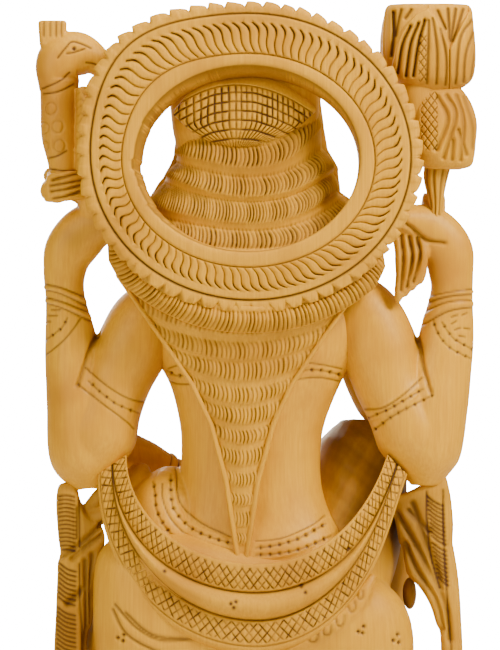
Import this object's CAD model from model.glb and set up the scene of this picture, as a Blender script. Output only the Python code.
import bpy
import numpy as np
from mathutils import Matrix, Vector


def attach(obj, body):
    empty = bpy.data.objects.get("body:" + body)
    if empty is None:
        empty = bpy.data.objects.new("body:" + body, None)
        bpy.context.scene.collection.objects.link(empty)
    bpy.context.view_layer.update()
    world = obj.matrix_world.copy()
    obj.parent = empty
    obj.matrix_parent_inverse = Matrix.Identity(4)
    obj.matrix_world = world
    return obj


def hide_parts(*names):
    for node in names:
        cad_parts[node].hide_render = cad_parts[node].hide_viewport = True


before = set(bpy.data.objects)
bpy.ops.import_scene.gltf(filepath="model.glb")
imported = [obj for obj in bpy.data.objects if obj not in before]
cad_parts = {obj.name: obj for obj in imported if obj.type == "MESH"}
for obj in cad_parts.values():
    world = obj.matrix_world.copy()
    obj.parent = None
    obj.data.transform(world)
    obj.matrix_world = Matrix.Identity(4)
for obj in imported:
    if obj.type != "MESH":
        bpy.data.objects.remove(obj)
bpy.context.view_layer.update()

# Seated four-armed goddess, carved from one block of pale wood. Shapes are worked out in
# millimetres, +Z up, the figure facing -Y, so +X is her left. They become metres in the mesh.
mm = 0.001
print("frame loaded")


# A smooth step: 0 below low, 1 above high.
def eased(low, high, x):
    t = np.clip((x - low) / (high - low), 0, 1)
    return t * t * (3 - 2 * t)


# A soft ridge: 1 at x = 0, falling away on both sides within about the width.
def ridge(x, width):
    return np.exp(-((x / width) ** 2))


# A groove along x = 0, given by its depth and width.
def groove(x, cut):
    return cut[0] * ridge(x, cut[1])


# Position within a repeat, 0 to 1.
def within(x):
    return x - np.floor(x)


# Smooth wander from -1 to 1 along x, other for each seed: three sines of unrelated lengths.
def wander(x, seed):
    return (
        np.sin(x + 1.7 * seed) + 0.6 * np.sin(2.3 * x + 4.1 * seed) + 0.4 * np.sin(4.9 * x + 2.9 * seed)
    ) / 2


# Superellipse values: |v|^(2/square) with the sign of v.
def rounded(v, square):
    return np.sign(v) * np.abs(v) ** (2 / square)


# Running totals of some steps, beginning with 0.
def totals(steps):
    return np.concatenate([[0], np.cumsum(steps)])


# Length from the start of a line of points to each of them.
def lengthAlong(line):
    return totals(np.linalg.norm(np.diff(line, axis=0), axis=1))


# Even angles once round, without the last one, which is the first again.
def fullTurn(count):
    return np.linspace(0, 2 * np.pi, count, endpoint=False)


# Angles that set points at even steps round a superellipse of the given half sizes.
def evenAngles(count, square, halves=(1, 1), start=0.0, stop=2 * np.pi, closed=True):
    fine = np.linspace(start, stop, 6001)
    x, y = halves[0] * rounded(np.cos(fine), square), halves[1] * rounded(np.sin(fine), square)
    far = totals(np.hypot(np.diff(x), np.diff(y)))
    return np.interp(np.linspace(0, far[-1], count, endpoint=not closed), far, fine)


# Catmull-Rom curve through the rows of points, read at t from 0 to 1.
def through(points, t):
    p = np.asarray(points, float)
    p = np.vstack([2 * p[0] - p[1], p, 2 * p[-1] - p[-2]])
    s = np.clip(np.asarray(t, float), 0, 1) * (len(p) - 3)
    i = np.minimum(s.astype(int), len(p) - 4)
    f = (s - i)[..., None]
    a, b, c, d = p[i], p[i + 1], p[i + 2], p[i + 3]
    return 0.5 * (2 * b + (c - a) * f + (2 * a - 5 * b + 4 * c - d) * f**2 + (3 * b - a - 3 * c + d) * f**3)


# Columns of a table read at x, which is the place in its first column.
def levels(table, x):
    table = np.asarray(table, float)
    return [np.interp(x, table[:, 0], table[:, k]) for k in range(1, table.shape[1])]


# Faces over rings (ring, corner, xyz): each ring joins to the next, and the ends are
# closed with a fan, or joined to each other in a loop. cut gives the depth of the knife
# work at each point.
def skin(rings, loop=False, cut=None):
    count, corners = rings.shape[:2]
    grid = np.arange(count * corners).reshape(count, corners)
    if loop:
        grid = np.vstack([grid, grid[:1]])
    a, d = grid[:-1], grid[1:]
    b, c = np.roll(a, -1, 1), np.roll(d, -1, 1)
    faces = [np.stack([a, b, c, d], -1).reshape(-1, 4)]
    points = rings.reshape(-1, 3)
    depth = np.zeros(len(points)) if cut is None else np.ravel(cut)
    if not loop:
        first, last = len(points), len(points) + 1
        points = np.vstack([points, rings[0].mean(0), rings[-1].mean(0)])
        start, end = grid[0], grid[-1]
        faces.append(np.stack([np.roll(start, -1), start, np.full(corners, first)], -1))
        faces.append(np.stack([end, np.roll(end, -1), np.full(corners, last)], -1))
        depth = np.append(depth, [0, 0])
    return points, outward(points, faces), depth


# The same faces, turned round if their enclosed volume comes out negative.
def outward(points, faces):
    triangles = np.vstack([f[:, [0, k, k + 1]] for f in faces for k in range(1, f.shape[1] - 1)])
    a, b, c = (points[triangles[:, k]] for k in range(3))
    if np.einsum("ij,ij->i", a, np.cross(b, c)).sum() < 0:
        faces = [f[:, ::-1] for f in faces]
    return faces


# Several solids as one mesh.
def together(solids):
    faces, start = [], 0
    for points, parts, _ in solids:
        faces += [part + start for part in parts]
        start += len(points)
    return np.vstack([s[0] for s in solids]), faces, np.concatenate([s[2] for s in solids])


# A Blender mesh, in metres, from points in millimetres and faces of three or four corners.
def meshFrom(name, points, faces):
    corners = np.concatenate([f.ravel() for f in faces]).astype(np.int32)
    sizes = np.concatenate([np.full(len(f), f.shape[1]) for f in faces])
    starts = totals(sizes)[:-1].astype(np.int32)
    mesh = bpy.data.meshes.new(name)
    mesh.vertices.add(len(points))
    mesh.vertices.foreach_set("co", (points * mm).astype(np.float32).ravel())
    mesh.loops.add(len(corners))
    mesh.loops.foreach_set("vertex_index", corners)
    mesh.polygons.add(len(starts))
    mesh.polygons.foreach_set("loop_start", starts)
    mesh.polygons.foreach_set("use_smooth", np.ones(len(starts), bool))
    mesh.update(calc_edges=True)
    mesh.validate()
    return mesh


# An object that shows the data, in the scene.
def placed(name, data):
    made = bpy.data.objects.new(name, data)
    bpy.context.scene.collection.objects.link(made)
    return made


# Triangles that each piece keeps, in thousands: a million in all.
thousands = {
    "haloRing": 94, "netCap": 34, "headHair": 100, "hairPanel": 76, "collarRoll": 34, "backLeftArm": 44,
    "backRightArm": 46,
    "torso": 62, "hipsAndLegs": 76, "shawl": 66, "sashes": 42, "lotusFlower": 92, "birdStandard": 24,
    "head": 34, "ears": 9,
    "crown": 38, "hairBlock": 16, "frontArms": 28, "jewellery": 22, "feet": 8, "anklets": 6, "lotusSeat": 38,
}


# One finished piece: its points, faces, and how deep the knife went at each point, 0 to 1,
# for the wood to darken there. The made mesh is thinned where it is flattest.
def piece(name, solid, wood):
    points, faces, depth = solid
    mesh = meshFrom(name, points, faces)
    depth = np.clip(depth, 0, 1).astype(np.float32)
    mesh.attributes.new("cut", "FLOAT", "POINT").data.foreach_set("value", depth)
    mesh.materials.append(wood)
    obj = placed(name, mesh)
    thin = obj.modifiers.new("thin", "DECIMATE")
    triangles = sum(len(f) * (f.shape[1] - 2) for f in faces)
    thin.ratio = min(1, 1000 * thousands[name] / triangles)
    bpy.context.view_layer.update()
    graph = bpy.context.evaluated_depsgraph_get()
    shown = obj.evaluated_get(graph)
    obj.data = bpy.data.meshes.new_from_object(shown, preserve_all_data_layers=True, depsgraph=graph)
    obj.modifiers.clear()
    obj.data.name = name
    obj.data.calc_loop_triangles()
    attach(obj, "root")
    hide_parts("statue")
    print(name, len(obj.data.loop_triangles), "triangles")


# Solids grown together into one skin, as a carver blends limbs: a voxel remesh, then a
# light smoothing. Gives the points in millimetres, the faces, the outward normals and a
# shade of 0 for every point.
def grown(solids, s):
    points, faces, _ = together(solids)
    rough = placed("rough", meshFrom("rough", points, faces))
    remesh = rough.modifiers.new("grow", "REMESH")
    remesh.mode = "VOXEL"
    remesh.voxel_size = s["voxel"] * mm
    smooth = rough.modifiers.new("smooth", "SMOOTH")
    smooth.factor = 0.5
    smooth.iterations = s["smoothing"]
    bpy.context.view_layer.update()
    mesh = bpy.data.meshes.new_from_object(rough.evaluated_get(bpy.context.evaluated_depsgraph_get()))
    bpy.data.objects.remove(rough)

    def values(items, what, width, kind):
        found = np.empty(len(items) * width, kind)
        items.foreach_get(what, found)
        return found

    points = values(mesh.vertices, "co", 3, np.float32).reshape(-1, 3).astype(float) / mm
    normals = values(mesh.vertices, "normal", 3, np.float32).reshape(-1, 3).astype(float)
    sizes = values(mesh.polygons, "loop_total", 1, np.int32)
    corners = values(mesh.loops, "vertex_index", 1, np.int32)
    starts = totals(sizes)[:-1]
    faces = [corners[starts[sizes == n][:, None] + np.arange(n)] for n in (3, 4) if (sizes == n).any()]
    return points, faces, normals, np.zeros(len(points))


# A limb: an oval carried along the smooth line through its sections, each of them
# [x, y, z, half width, half depth]. square above 2 makes the oval boxier. relief, where
# given, turns the length so far in mm and the angle round into height in mm.
def limb(sections, sides, rows, square=2.0, up=(0, 1, 0), relief=None):
    line = through(sections, np.linspace(0, 1, rows))
    middle, size = line[:, :3], np.maximum(line[:, 3:5], 0.3)
    along = np.gradient(middle, axis=0)
    along /= np.linalg.norm(along, axis=1)[:, None]
    wide = np.cross(np.asarray(up, float), along)
    wide /= np.linalg.norm(wide, axis=1)[:, None]
    deep = np.cross(along, wide)
    angle = fullTurn(sides)
    height = relief(lengthAlong(middle)[:, None], angle[None]) if relief else np.zeros((rows, sides))
    acrossBy = rounded(np.cos(angle), square) * (size[:, :1] + height)
    backBy = rounded(np.sin(angle), square) * (size[:, 1:] + height)
    rings = middle[:, None] + acrossBy[..., None] * wide[:, None] + backBy[..., None] * deep[:, None]
    return (rings, height) if relief else rings


# Limbs of a settings dictionary, each by its name with its sides and rows.
def limbs(s, **shapes):
    return [skin(limb(s[name], sides, rows)) for name, (sides, rows) in shapes.items()]


# A limb cut by its relief. Its wood has the shade of the ground, and darkens as the relief
# goes deeper, by the shade to a mm.
def carvedLimb(sections, sides, rows, relief, shade, ground=0, **more):
    rings, height = limb(sections, sides, rows, relief=relief, **more)
    return skin(rings, cut=ground - shade * height)


# A stack of level ovals, each [x, y, z, half width, half depth].
def stack(sections, sides, rows, square=2.2):
    line = through(sections, np.linspace(0, 1, rows))
    angle = evenAngles(sides, square)
    x = line[:, :1] + line[:, 3:4] * rounded(np.cos(angle), square)
    y = line[:, 1:2] + line[:, 4:5] * rounded(np.sin(angle), square)
    return np.stack([x, y, np.repeat(line[:, 2:3], sides, 1)], -1)


# An egg: centre, half sizes, and how boxy it is.
def egg(centre, half, sides=40, rows=24, square=2.0):
    lift = np.linspace(-np.pi / 2, np.pi / 2, rows + 2)[1:-1, None]
    angle = fullTurn(sides)[None]
    x = centre[0] + half[0] * rounded(np.cos(lift), square) * rounded(np.cos(angle), square)
    y = centre[1] + half[1] * rounded(np.cos(lift), square) * rounded(np.sin(angle), square)
    z = centre[2] + half[2] * rounded(np.sin(lift), square) + 0 * angle
    return np.stack([x, y, z], -1)


# The linear colour of an sRGB hex code.
def linear(hexColour):
    value = np.array([int(hexColour[i : i + 2], 16) / 255 for i in (1, 3, 5)])
    value = np.where(value <= 0.04045, value / 12.92, ((value + 0.055) / 1.055) ** 2.4)
    return (*value, 1.0)


# Adds a node: its kind, its settings, and what is linked or set on its inputs. An input
# goes by its name, with _ for a space, or by "in" and its number.
def node(tree, kind, settings=None, **inputs):
    made = tree.nodes.new(kind)
    for key, value in (settings or {}).items():
        setattr(made, key, value)
    for key, value in inputs.items():
        numbered = key[:2] == "in" and key[2:].isdigit()
        socket = made.inputs[int(key[2:]) if numbered else key.replace("_", " ")]
        if isinstance(value, bpy.types.NodeSocket):
            tree.links.new(value, socket)
        else:
            socket.default_value = value
    return made


# What both finishes share: how often each noise repeats to a metre along x, y and z, from
# where to where each colour sets in, and the height of the grain in metres.
woodPattern = {
    "streaks": (650, 650, 26), "clouds": (16, 16, 16), "pores": (2600, 2600, 240),
    "grainRange": (0.3, 0.72), "cloudRange": (0.46, 0.72), "cutRange": (0.05, 1.0),
    "roughRange": (0.3, 0.7), "roughSpread": 0.1, "grainHeight": 0.0006, "coatRoughness": 0.35,
}


# Kadam wood, cut with knives and gouges and rubbed with wax. Smooth skin shines softly;
# carved cloth and hair stay drier. Grain lines stand upright, about 1.5 mm apart.
def carvedWood(name, settings):
    s = woodPattern
    made = bpy.data.materials.new(name)
    made.use_nodes = True
    tree = made.node_tree
    tree.nodes.clear()
    place = node(tree, "ShaderNodeTexCoord").outputs["Object"]

    def noise(scale, detail, **more):
        squeezed = node(tree, "ShaderNodeMapping", Vector=place, Scale=scale).outputs[0]
        return node(tree, "ShaderNodeTexNoise", Vector=squeezed, Scale=1.0, Detail=detail, **more).outputs[0]

    def mixed(factor, span, first, second):
        ramp = node(tree, "ShaderNodeMapRange", Value=factor, in1=span[0], in2=span[1]).outputs[0]
        made = node(tree, "ShaderNodeMix", {"data_type": "RGBA"}, Factor=ramp, in6=first, in7=second)
        return made.outputs[2]

    # Streaks are noise squeezed sideways into long upright lines; clouds are broad patches
    # some 60 mm wide where the wood took more oil.
    streaks = noise(s["streaks"], 4.0, Roughness=0.6)
    clouds = noise(s["clouds"], 3.0)
    pores = noise(s["pores"], 2.0)
    cut = node(tree, "ShaderNodeAttribute", {"attribute_name": "cut"}).outputs["Fac"]
    colour = mixed(streaks, s["grainRange"], linear(settings["light"]), linear(settings["grain"]))
    colour = mixed(clouds, s["cloudRange"], colour, linear(settings["cloud"]))
    colour = mixed(cut, s["cutRange"], colour, linear(settings["groove"]))
    low, high = s["roughRange"]
    rough = settings["rough"]
    shine = node(
        tree, "ShaderNodeMapRange", Value=clouds, in1=low, in2=high, in3=rough, in4=rough + s["roughSpread"]
    ).outputs[0]
    grain = node(tree, "ShaderNodeMath", {"operation": "ADD"}, in0=streaks, in1=pores).outputs[0]
    relief = node(
        tree, "ShaderNodeBump", Strength=settings["bump"], Distance=s["grainHeight"], Height=grain
    ).outputs[0]
    shader = node(
        tree, "ShaderNodeBsdfPrincipled", Base_Color=colour, Roughness=shine, Normal=relief, IOR=1.5,
        Specular_IOR_Level=settings["shine"], Coat_Weight=settings["wax"], Coat_Roughness=s["coatRoughness"],
    )
    node(tree, "ShaderNodeOutputMaterial", Surface=shader.outputs[0])
    return made


waxedWood = carvedWood("waxed kadam wood", {
    "light": "#D29A0C", "grain": "#C2860A", "cloud": "#B27606", "groove": "#553204",
    "rough": 0.45, "bump": 0.12, "wax": 0.03, "shine": 0.22,
})
knifeCutWood = carvedWood("knife-cut kadam wood", {
    "light": "#CF970C", "grain": "#BC8308", "cloud": "#AF7706", "groove": "#4C2B04",
    "rough": 0.6, "bump": 0.22, "wax": 0.0, "shine": 0.25,
})
print("wood finishes made")

haloSize = {
    "flutes": 88, "columnsToAFlute": 15, "back": 64, "front": 42,
    # Closed curves from the opening out: middle X and Z, half width, half height, and how far
    # the fuller top corner on her left stands out.
    "wallFront": (4.2, 490.5, 75.2, 60.5, 0),
    "edge": (6.5, 493.9, 78.5, 64.9, 0),
    "rimGroove": (5.5, 492.5, 88.0, 74.3, 4.5),
    "outerGroove": (3.8, 495, 111.3, 99.6, 9.8),
    "corner": (138, 17),  # angle and spread, degrees
    "chips": (186, 22, 2.0),  # angle and spread, degrees, and depth
    # Depth and width: the fall at the opening's edge, the rim groove and the outer groove.
    "edgeFall": (1.4, 0.7), "rimCut": (1.3, 0.6), "outerCut": (1.9, 0.65),
    "lean": (1.3, 1.25, 176, 24),  # of the flutes; how much less at an angle, and its spread
    "fluteDepth": 2.0, "creaseWidth": 0.085, "plainEnd": 5.6,
    "teeth": 54, "root": 5.4, "tip": 9.4, "pocketDepth": 2.6, "thick": 13,
}


# A closed curve of the halo: an ellipse with one fuller corner. The angle runs from her
# right over the top to her left.
def haloCurve(angle, curve):
    x, z, wide, high, fuller = curve
    at, spread = haloSize["corner"]
    reach = 1 / np.hypot(np.cos(angle) / wide, np.sin(angle) / high)
    reach = reach + fuller * np.exp(-(((np.degrees(angle) - at) / spread) ** 2) / 2)
    return np.concatenate([x - reach * np.cos(angle), z + reach * np.sin(angle)], 1)


# The halo ring. For each angle a section runs from the front of the opening over the rim,
# its groove, the flutes, the outer groove and a tooth, and back along the plain front.
def haloRing():
    s = haloSize
    angle = fullTurn(s["flutes"] * s["columnsToAFlute"])[:, None]
    degrees = np.degrees(angle)
    cos, sin = np.cos(angle), np.sin(angle)
    wallFront, edge = haloCurve(angle, s["wallFront"]), haloCurve(angle, s["edge"])
    rimGroove, outerGroove = haloCurve(angle, s["rimGroove"]), haloCurve(angle, s["outerGroove"])
    width = np.linalg.norm(outerGroove - rimGroove, axis=1)[:, None]
    out = (outerGroove - rimGroove) / width
    # The rim's edge is chipped on her left.
    at, spread, depth = s["chips"]
    chip = depth * eased(0.0, 0.5, wander(13 * angle, 17)) * ridge(degrees - at, spread)
    edge, wallFront = edge + chip * out, wallFront + 0.7 * chip * out
    rim = np.linalg.norm(rimGroove - edge, axis=1)[:, None]

    # Rim rows: share of the way from the opening's edge to the rim groove.
    a = np.array([[0, 0.04, 0.12, 0.25, 0.4, 0.55, 0.7, 0.82, 0.9, 0.95]])
    fall, fallWidth = s["edgeFall"]
    rimDepth = fall * np.exp(-a * rim / fallWidth) + groove((1 - a) * rim, s["rimCut"])
    rimY = s["back"] + 0.5 * np.sin(np.pi * a) - rimDepth

    # Band rows: share of the way from the rim groove to the outer groove. Each flute is a
    # pillow between two creases: the crease leans and swings, and its outer third opens
    # into a dark wedge that hooks at the end.
    b = [np.linspace(0, 0.04, 3), np.linspace(0.06, 0.8, 27), np.linspace(0.82, 0.96, 5), [0.98, 1.0, 1.02]]
    b = np.concatenate(b)[None]
    f = np.clip((b - 0.02) / (1 - s["plainEnd"] / width - 0.02), 0, 1)
    most, less, at, spread = s["lean"]
    lean = most - less * ridge(degrees - at, spread) + 0.25 * wander(3 * angle, 1)
    turn = angle * s["flutes"] / (2 * np.pi)
    swing = lean * (f - 0.5) + 0.19 * np.sin(2 * np.pi * (f - 0.02)) + 0.25 * eased(0.8, 1, f)
    phase = within(turn - swing + 0.1 * wander(7 * angle, 2))
    onFlutes = eased(0.0, 0.05, f) * (1 - eased(0.93, 1.0, f))
    crease = ridge(phase - (phase > 0.5), s["creaseWidth"]) * (0.8 + 0.2 * wander(turn * 2.1, 3)) * onFlutes
    wedge = eased(0.55, 0.92, f) * (1 - eased(0.96, 1.0, f))
    wedge = wedge * (np.exp(-phase / (0.05 + 0.12 * f)) + np.exp(-(1 - phase) / 0.05))
    pillow = (eased(0, 0.5, phase) * (1 - eased(0.84, 1.0, phase)) - 0.25) * onFlutes
    grooves = groove(b * width, s["rimCut"]) + groove((b - 1) * width, s["outerCut"])
    bandY = s["back"] + 0.8 * pillow - s["fluteDepth"] * (0.62 * crease + 1.15 * wedge) - grooves
    bandCut = 0.85 * crease + 0.95 * wedge + 0.7 * grooves

    # Teeth: broad and flat with a slanted end and a narrow notch between, but plain
    # triangles below, where they lie on the hair.
    tooth = within(angle * s["teeth"] / (2 * np.pi) + 0.18 * wander(5 * angle, 4))
    broad = tooth**0.35 * (1 - eased(0.8, 1, tooth))
    below = eased(0.55, 0.85, -sin)
    profile = broad + (0.92 - broad) * below
    reach = s["root"] + (s["tip"] - s["root"]) * profile
    reach = reach * (1 + 0.08 * wander(9 * angle, 5)) * (1 + 0.12 * eased(0, 1, -cos))
    steps = np.array([[0.12, 0.25, 0.4, 0.55, 0.7, 0.85, 1.0]])
    # Under the halo the teeth give way to a plain band with a triangle cut out for each.
    pocket = below * eased(0.02, 0.16, 0.42 * (steps - 0.2) - np.abs(tooth - 0.5))
    pocket = pocket * (0.55 + 0.9 * (1 - tooth))
    slope = (0.4 + 2.0 * eased(0.5, 1, steps) * (1 - below)) * steps
    toothY = s["back"] - 0.3 - 0.5 * within(tooth + 0.5) - slope - s["pocketDepth"] * pocket
    toothCut = 0.5 * (1 - eased(0, 0.16, tooth)) * steps * (1 - below) + 0.5 * pocket

    def rows(flat, depth):
        return np.concatenate([flat, np.broadcast_to(depth, flat.shape[:2])[..., None]], -1)

    # The wall of the opening: its front edge is smaller, so the wall is seen on top and on
    # her left.
    k = np.array([[0, 0.3, 0.6, 0.9, 0.98]])
    front, behind = s["front"], s["back"] - s["thick"]
    wall = wallFront[:, None] + (edge - wallFront)[:, None] * k[..., None]
    rings = np.concatenate([
        rows(wall, front + (s["back"] - fall - front) * k),
        rows(edge[:, None] + (rimGroove - edge)[:, None] * a[..., None], rimY),
        rows(rimGroove[:, None] + out[:, None] * (b * width)[..., None], bandY),
        rows(outerGroove[:, None] + out[:, None] * (0.6 + (reach - 0.6) * steps)[..., None], toothY),
        rows((outerGroove + out * (reach - 1.5))[:, None], behind + 0 * reach),
        rows((outerGroove - out * 4)[:, None], behind - 3 + 0 * reach),
        rows((rimGroove + out * 6)[:, None], front + 0 * reach),
    ], 1)
    plain = np.zeros((len(angle), 3))
    cut = np.concatenate([0 * k + 0 * reach, 0.7 * rimDepth - 0.3, bandCut, toothCut, plain], 1)
    piece("haloRing", skin(rings[..., [0, 2, 1]], loop=True, cut=cut), knifeCutWood)


haloRing()

netCapSize = {
    "columns": 220, "rows": 110, "side": 37.5, "dome": 12,
    "front": 20, "netDepth": 1.7, "bandDepth": 1.2,
    # Outline as seen from behind, at even steps from her left to her right: X, top and bottom Z.
    "outline": [
        [58, 528, 525], [46, 542, 514], [32, 549.5, 506], [14, 551.5, 502], [-4, 551, 504], [-20, 546, 510],
        [-31, 539, 518], [-42, 530, 528],
    ],
    # Place where the lines gather and the net's height above it; how fast the arcs drop and
    # how far apart the lines stand, to her left and right; arcs in the height.
    "focus": (14.5, 501.5), "height": 48, "drop": (0.0085, 0.0068), "pitch": (4.9, 3.7), "arcs": 7.4,
    "band": 0.92,
}


# The net over the knot of hair: a lens, domed towards the back, under a plain band. Lines
# stand upright and gather at its foot; arcs cross them and drop at their ends: their height
# falls with the square of the distance from the middle line. The squares stand out round.
def netCap():
    s = netCapSize
    u = np.linspace(0, 1, s["columns"])
    v = np.linspace(0, 1, s["rows"])[:, None]
    x, top, bottom = through(s["outline"], u).T
    x, z = x + 0 * v, top + (bottom - top) * v
    across = 2 * u - 1
    bulge = np.clip(1 - across**2, 0, 1) ** 0.6 * np.clip(4 * v * (1 - v), 0, 1) ** 0.45
    bulge = bulge * (0.75 + 0.25 * (1 - v))
    sideways, up = x - s["focus"][0], z - s["focus"][1]
    left = sideways > 0
    far = (up + np.where(left, *s["drop"]) * sideways**2) / s["height"]
    spread = 0.28 + 0.72 * eased(-3, 19, up)
    lines = within(sideways / spread / np.where(left, *s["pitch"]) + 0.5 + 0.14 * wander(9 * u + 2 * v, 2))
    arcs = within(s["arcs"] * far + 0.5 + 0.1 * wander(11 * u, 7))
    upright = ridge(lines - 0.5, 0.17) * (0.8 + 0.35 * wander(17 * u + 5 * v, 4))
    crossing = ridge(arcs - 0.5, 0.13) * (0.85 + 0.3 * wander(23 * u, 8))
    net = np.maximum(upright, crossing) * (1 - eased(s["band"] - 0.03, s["band"], far))
    edge = ridge(far - s["band"], 0.012)
    front = np.stack([x, s["side"] + s["dome"] * bulge - s["netDepth"] * net - s["bandDepth"] * edge, z], -1)
    back = np.stack([x, np.full_like(z, s["front"]), z], -1)
    rings = np.concatenate([front, back[::-8]], 0).transpose(1, 0, 2)
    cut = np.zeros(rings.shape[:2])
    cut[:, : s["rows"]] = (1.25 * net + edge * 0.7).T
    piece("netCap", skin(rings, cut=cut), knifeCutWood)


netCap()
print("halo made")

headHairSize = {
    "x": 4.5, "pitch": 2.9, "grooveDepth": 2.6, "columns": 520, "frontColumns": 260, "front": 6,
    "pastSides": 0.12,  # how far the fine columns of the back run on to the front, radians
    "tiers": (1, 8, 15),  # first and last level with tiers, and rows from level to level
    "roll": (4.2, 2.6, 3.0, 1.4), "tierPitches": (1.1, 1, 0.85, 1.05), "frontStrands": 34, "frontDepth": 1.1,
    # Place, height at the middle of the back, at her left and right, half widths, back face.
    "levels": [
        [0, 516, 524, 542, 50, 49, 36], [1, 503, 513, 535, 52.5, 50.5, 42.5],
        [2, 487, 497, 516, 54.5, 53, 45.5], [3, 481, 492, 502, 56.5, 55.5, 44],
        [4, 467, 482, 489, 62, 63, 48.5], [5, 463.5, 478, 485, 65.5, 63, 47.5],
        [6, 448, 462, 472, 75, 64.5, 51], [7, 443.5, 456, 467, 77, 71.5, 51],
        [8, 430, 444, 452, 82, 79, 54], [9, 418, 430, 436, 80, 76, 50], [10, 392, 398, 400, 66, 62, 40],
    ],
}


# Strands: grooves across a tier, about one for each pitch of x. Each one bows towards +x at
# its middle by the bow, more in some locks than in others.
def strands(x, v, pitch, seed, bow):
    bend = bow * (1 + 0.3 * wander(x / 15, seed)) * 4 * v * (1 - v)
    bend = bend + 0.35 * pitch * wander(x / 21, seed + 5) * v
    line = within((x - bend) / pitch + 0.2 * wander(x / 5.3, seed + 9))
    depth = 0.85 + 0.35 * wander(x / 3.1, seed + 3)
    return depth * (np.exp(-line / 0.34) + np.exp(-(1 - line) / 0.09))


# Height of tiers of hair: f runs down each tier and each ledge below it. A tier rises from
# its top, is full, and turns in at its foot; a ledge lies deeper and slopes away.
def rolled(f, tier, ledge, depths):
    top, foot, step, slope = depths
    return np.where(tier, -top * (1 - f) ** 2 - foot * f**6, 0) + np.where(ledge, -step - slope * f, 0)


# Hair behind the head, seen through the halo: level rings that sag at the middle of the
# back. From the first level with tiers on, the gaps between levels are in turn a tier,
# rolled and cut into strands, and the smooth ledge below it.
def headHair():
    s = headHairSize
    past = s["pastSides"]
    first, last, rows = s["tiers"]
    tiers = np.linspace(first, last, (last - first) * rows + 1)
    v = np.concatenate([np.linspace(0, first, 5)[:-1], tiers, np.linspace(last, 10, 7)[1:]])[:, None]
    zMid, zLeft, zRight, wideLeft, wideRight, back = levels(s["levels"], v)
    backAngle = evenAngles(s["columns"], 3.0, (60, 47), -past, np.pi + past, closed=False)
    frontAngle = evenAngles(s["frontColumns"] + 2, 3.0, (60, 6), np.pi + past, 2 * np.pi - past, closed=False)
    angle = np.concatenate([backAngle, frontAngle[1:-1]])[None]
    cos, sin = np.cos(angle), np.sin(angle)
    left = eased(-1, 1, cos)
    number, f = v.astype(int), within(v)
    tier = (v >= first) & (v < last) & (number % 2 == 1)
    ledge = (v > first) & (v < last) & (number % 2 == 0)
    around = eased(-0.16, 0.0, sin)
    half = wideRight + (wideLeft - wideRight) * left
    depth = np.where(sin > 0, back, s["front"])
    # The rings start as square as the block of hair above them and grow rounder.
    square = 3.3 - 0.5 * eased(1, 6, v)
    across, backwards = rounded(cos, square), rounded(sin, square)
    x, y = half * across, depth * backwards
    # Length round each ring from the middle of the back, towards her right.
    stepX, stepY = (np.diff(k, axis=1, prepend=k[:, :1]) for k in (x, y))
    arc = np.cumsum(np.hypot(stepX, stepY), axis=1)
    arc = arc - arc[:, s["columns"] // 2, None]
    roll = rolled(f, tier, ledge, s["roll"])
    roll = roll + 0.25 * wander(arc / 9 + number, 6) * tier
    bow = 2.0 + 3.0 * np.abs(cos) ** 1.5
    carved = 0
    for k, share in zip(range(first, last, 2), s["tierPitches"]):
        band = (number == k) * (0.45 + 0.55 * eased(0.0, 0.2, f)) * (1 - 0.8 * eased(0.8, 1.0, f))
        before = (number == k - 1) * 0.45 * eased(0.45, 1.0, f) * (v >= 1)
        pitch = s["pitch"] * share
        carved = carved + band * strands(arc, f, pitch, k, bow) + before * strands(arc, 0 * f, pitch, k, bow)
    carved = carved * around
    reach = (roll - s["grooveDepth"] * carved) * around
    # In front the hair falls in long strands that follow its outline.
    lock = within(s["frontStrands"] / 2 * across + 0.25 * wander(3 * v + 2.5 * cos, 12)) * 2 - 1
    falls = ridge(np.abs(lock) - 1, 0.28) * eased(0.1, 0.4, -sin) * eased(0.5, 2.0, v)
    x = s["x"] + (half + reach) * across
    y = (depth + reach * (sin > 0) - s["frontDepth"] * falls * (sin < 0)) * backwards
    zSide = zRight + (zLeft - zRight) * left
    z = zMid + (zSide - zMid) * np.where(sin > 0, np.abs(across) ** 2.1, 1)
    shade = carved * 1.35 + 0.6 * falls + 0.2 * ledge * (1 - f) ** 2 * around
    piece("headHair", skin(np.stack([x, y, z + 0 * x], -1), cut=shade), knifeCutWood)


headHair()

panelSize = {
    "x": 10, "columns": 250, "tierRows": 13, "ledgeRows": 6,
    "border": 3.4, "pitch": 3.1, "depth": 2.3, "thick": 26, "roll": (3.2, 1.6, 2.6, 0.6),
    # Half width with its border, by the height of the edge.
    "outline": [
        [205, 3.6], [214, 4.2], [222, 5.6], [268.8, 12.6], [309.4, 23.5], [336.7, 36.4], [360.5, 52.3],
        [376.6, 63.5], [394.8, 76], [412, 88],
    ],
    # It spreads above a height, over so many mm. There its edges rise above the middle and
    # bow forwards, and its back stands out from a depth, by so much more.
    "spread": (222, 167), "rise": 17, "bow": 9, "back": (43.5, 15.5),
    # Profile of its raised borders: how far out, and how high above the panel's edge.
    "borderOut": [0.0, 0.7, 1.6, 2.8, 3.5, 3.9], "borderUp": [-0.9, -0.1, 0.5, 0.6, 0.2, -4.5],
    "top": 396, "tip": 210,
    # Top and bottom of each tier at the middle of her back.
    "tiers": [
        (386, 370), (366.5, 353), (352, 338.5), (334.5, 322.5), (320, 308), (304.5, 294.5), (290.5, 279),
        (274.5, 264.5), (260, 251), (247.5, 236.5), (233, 224.5),
    ],
}


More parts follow.
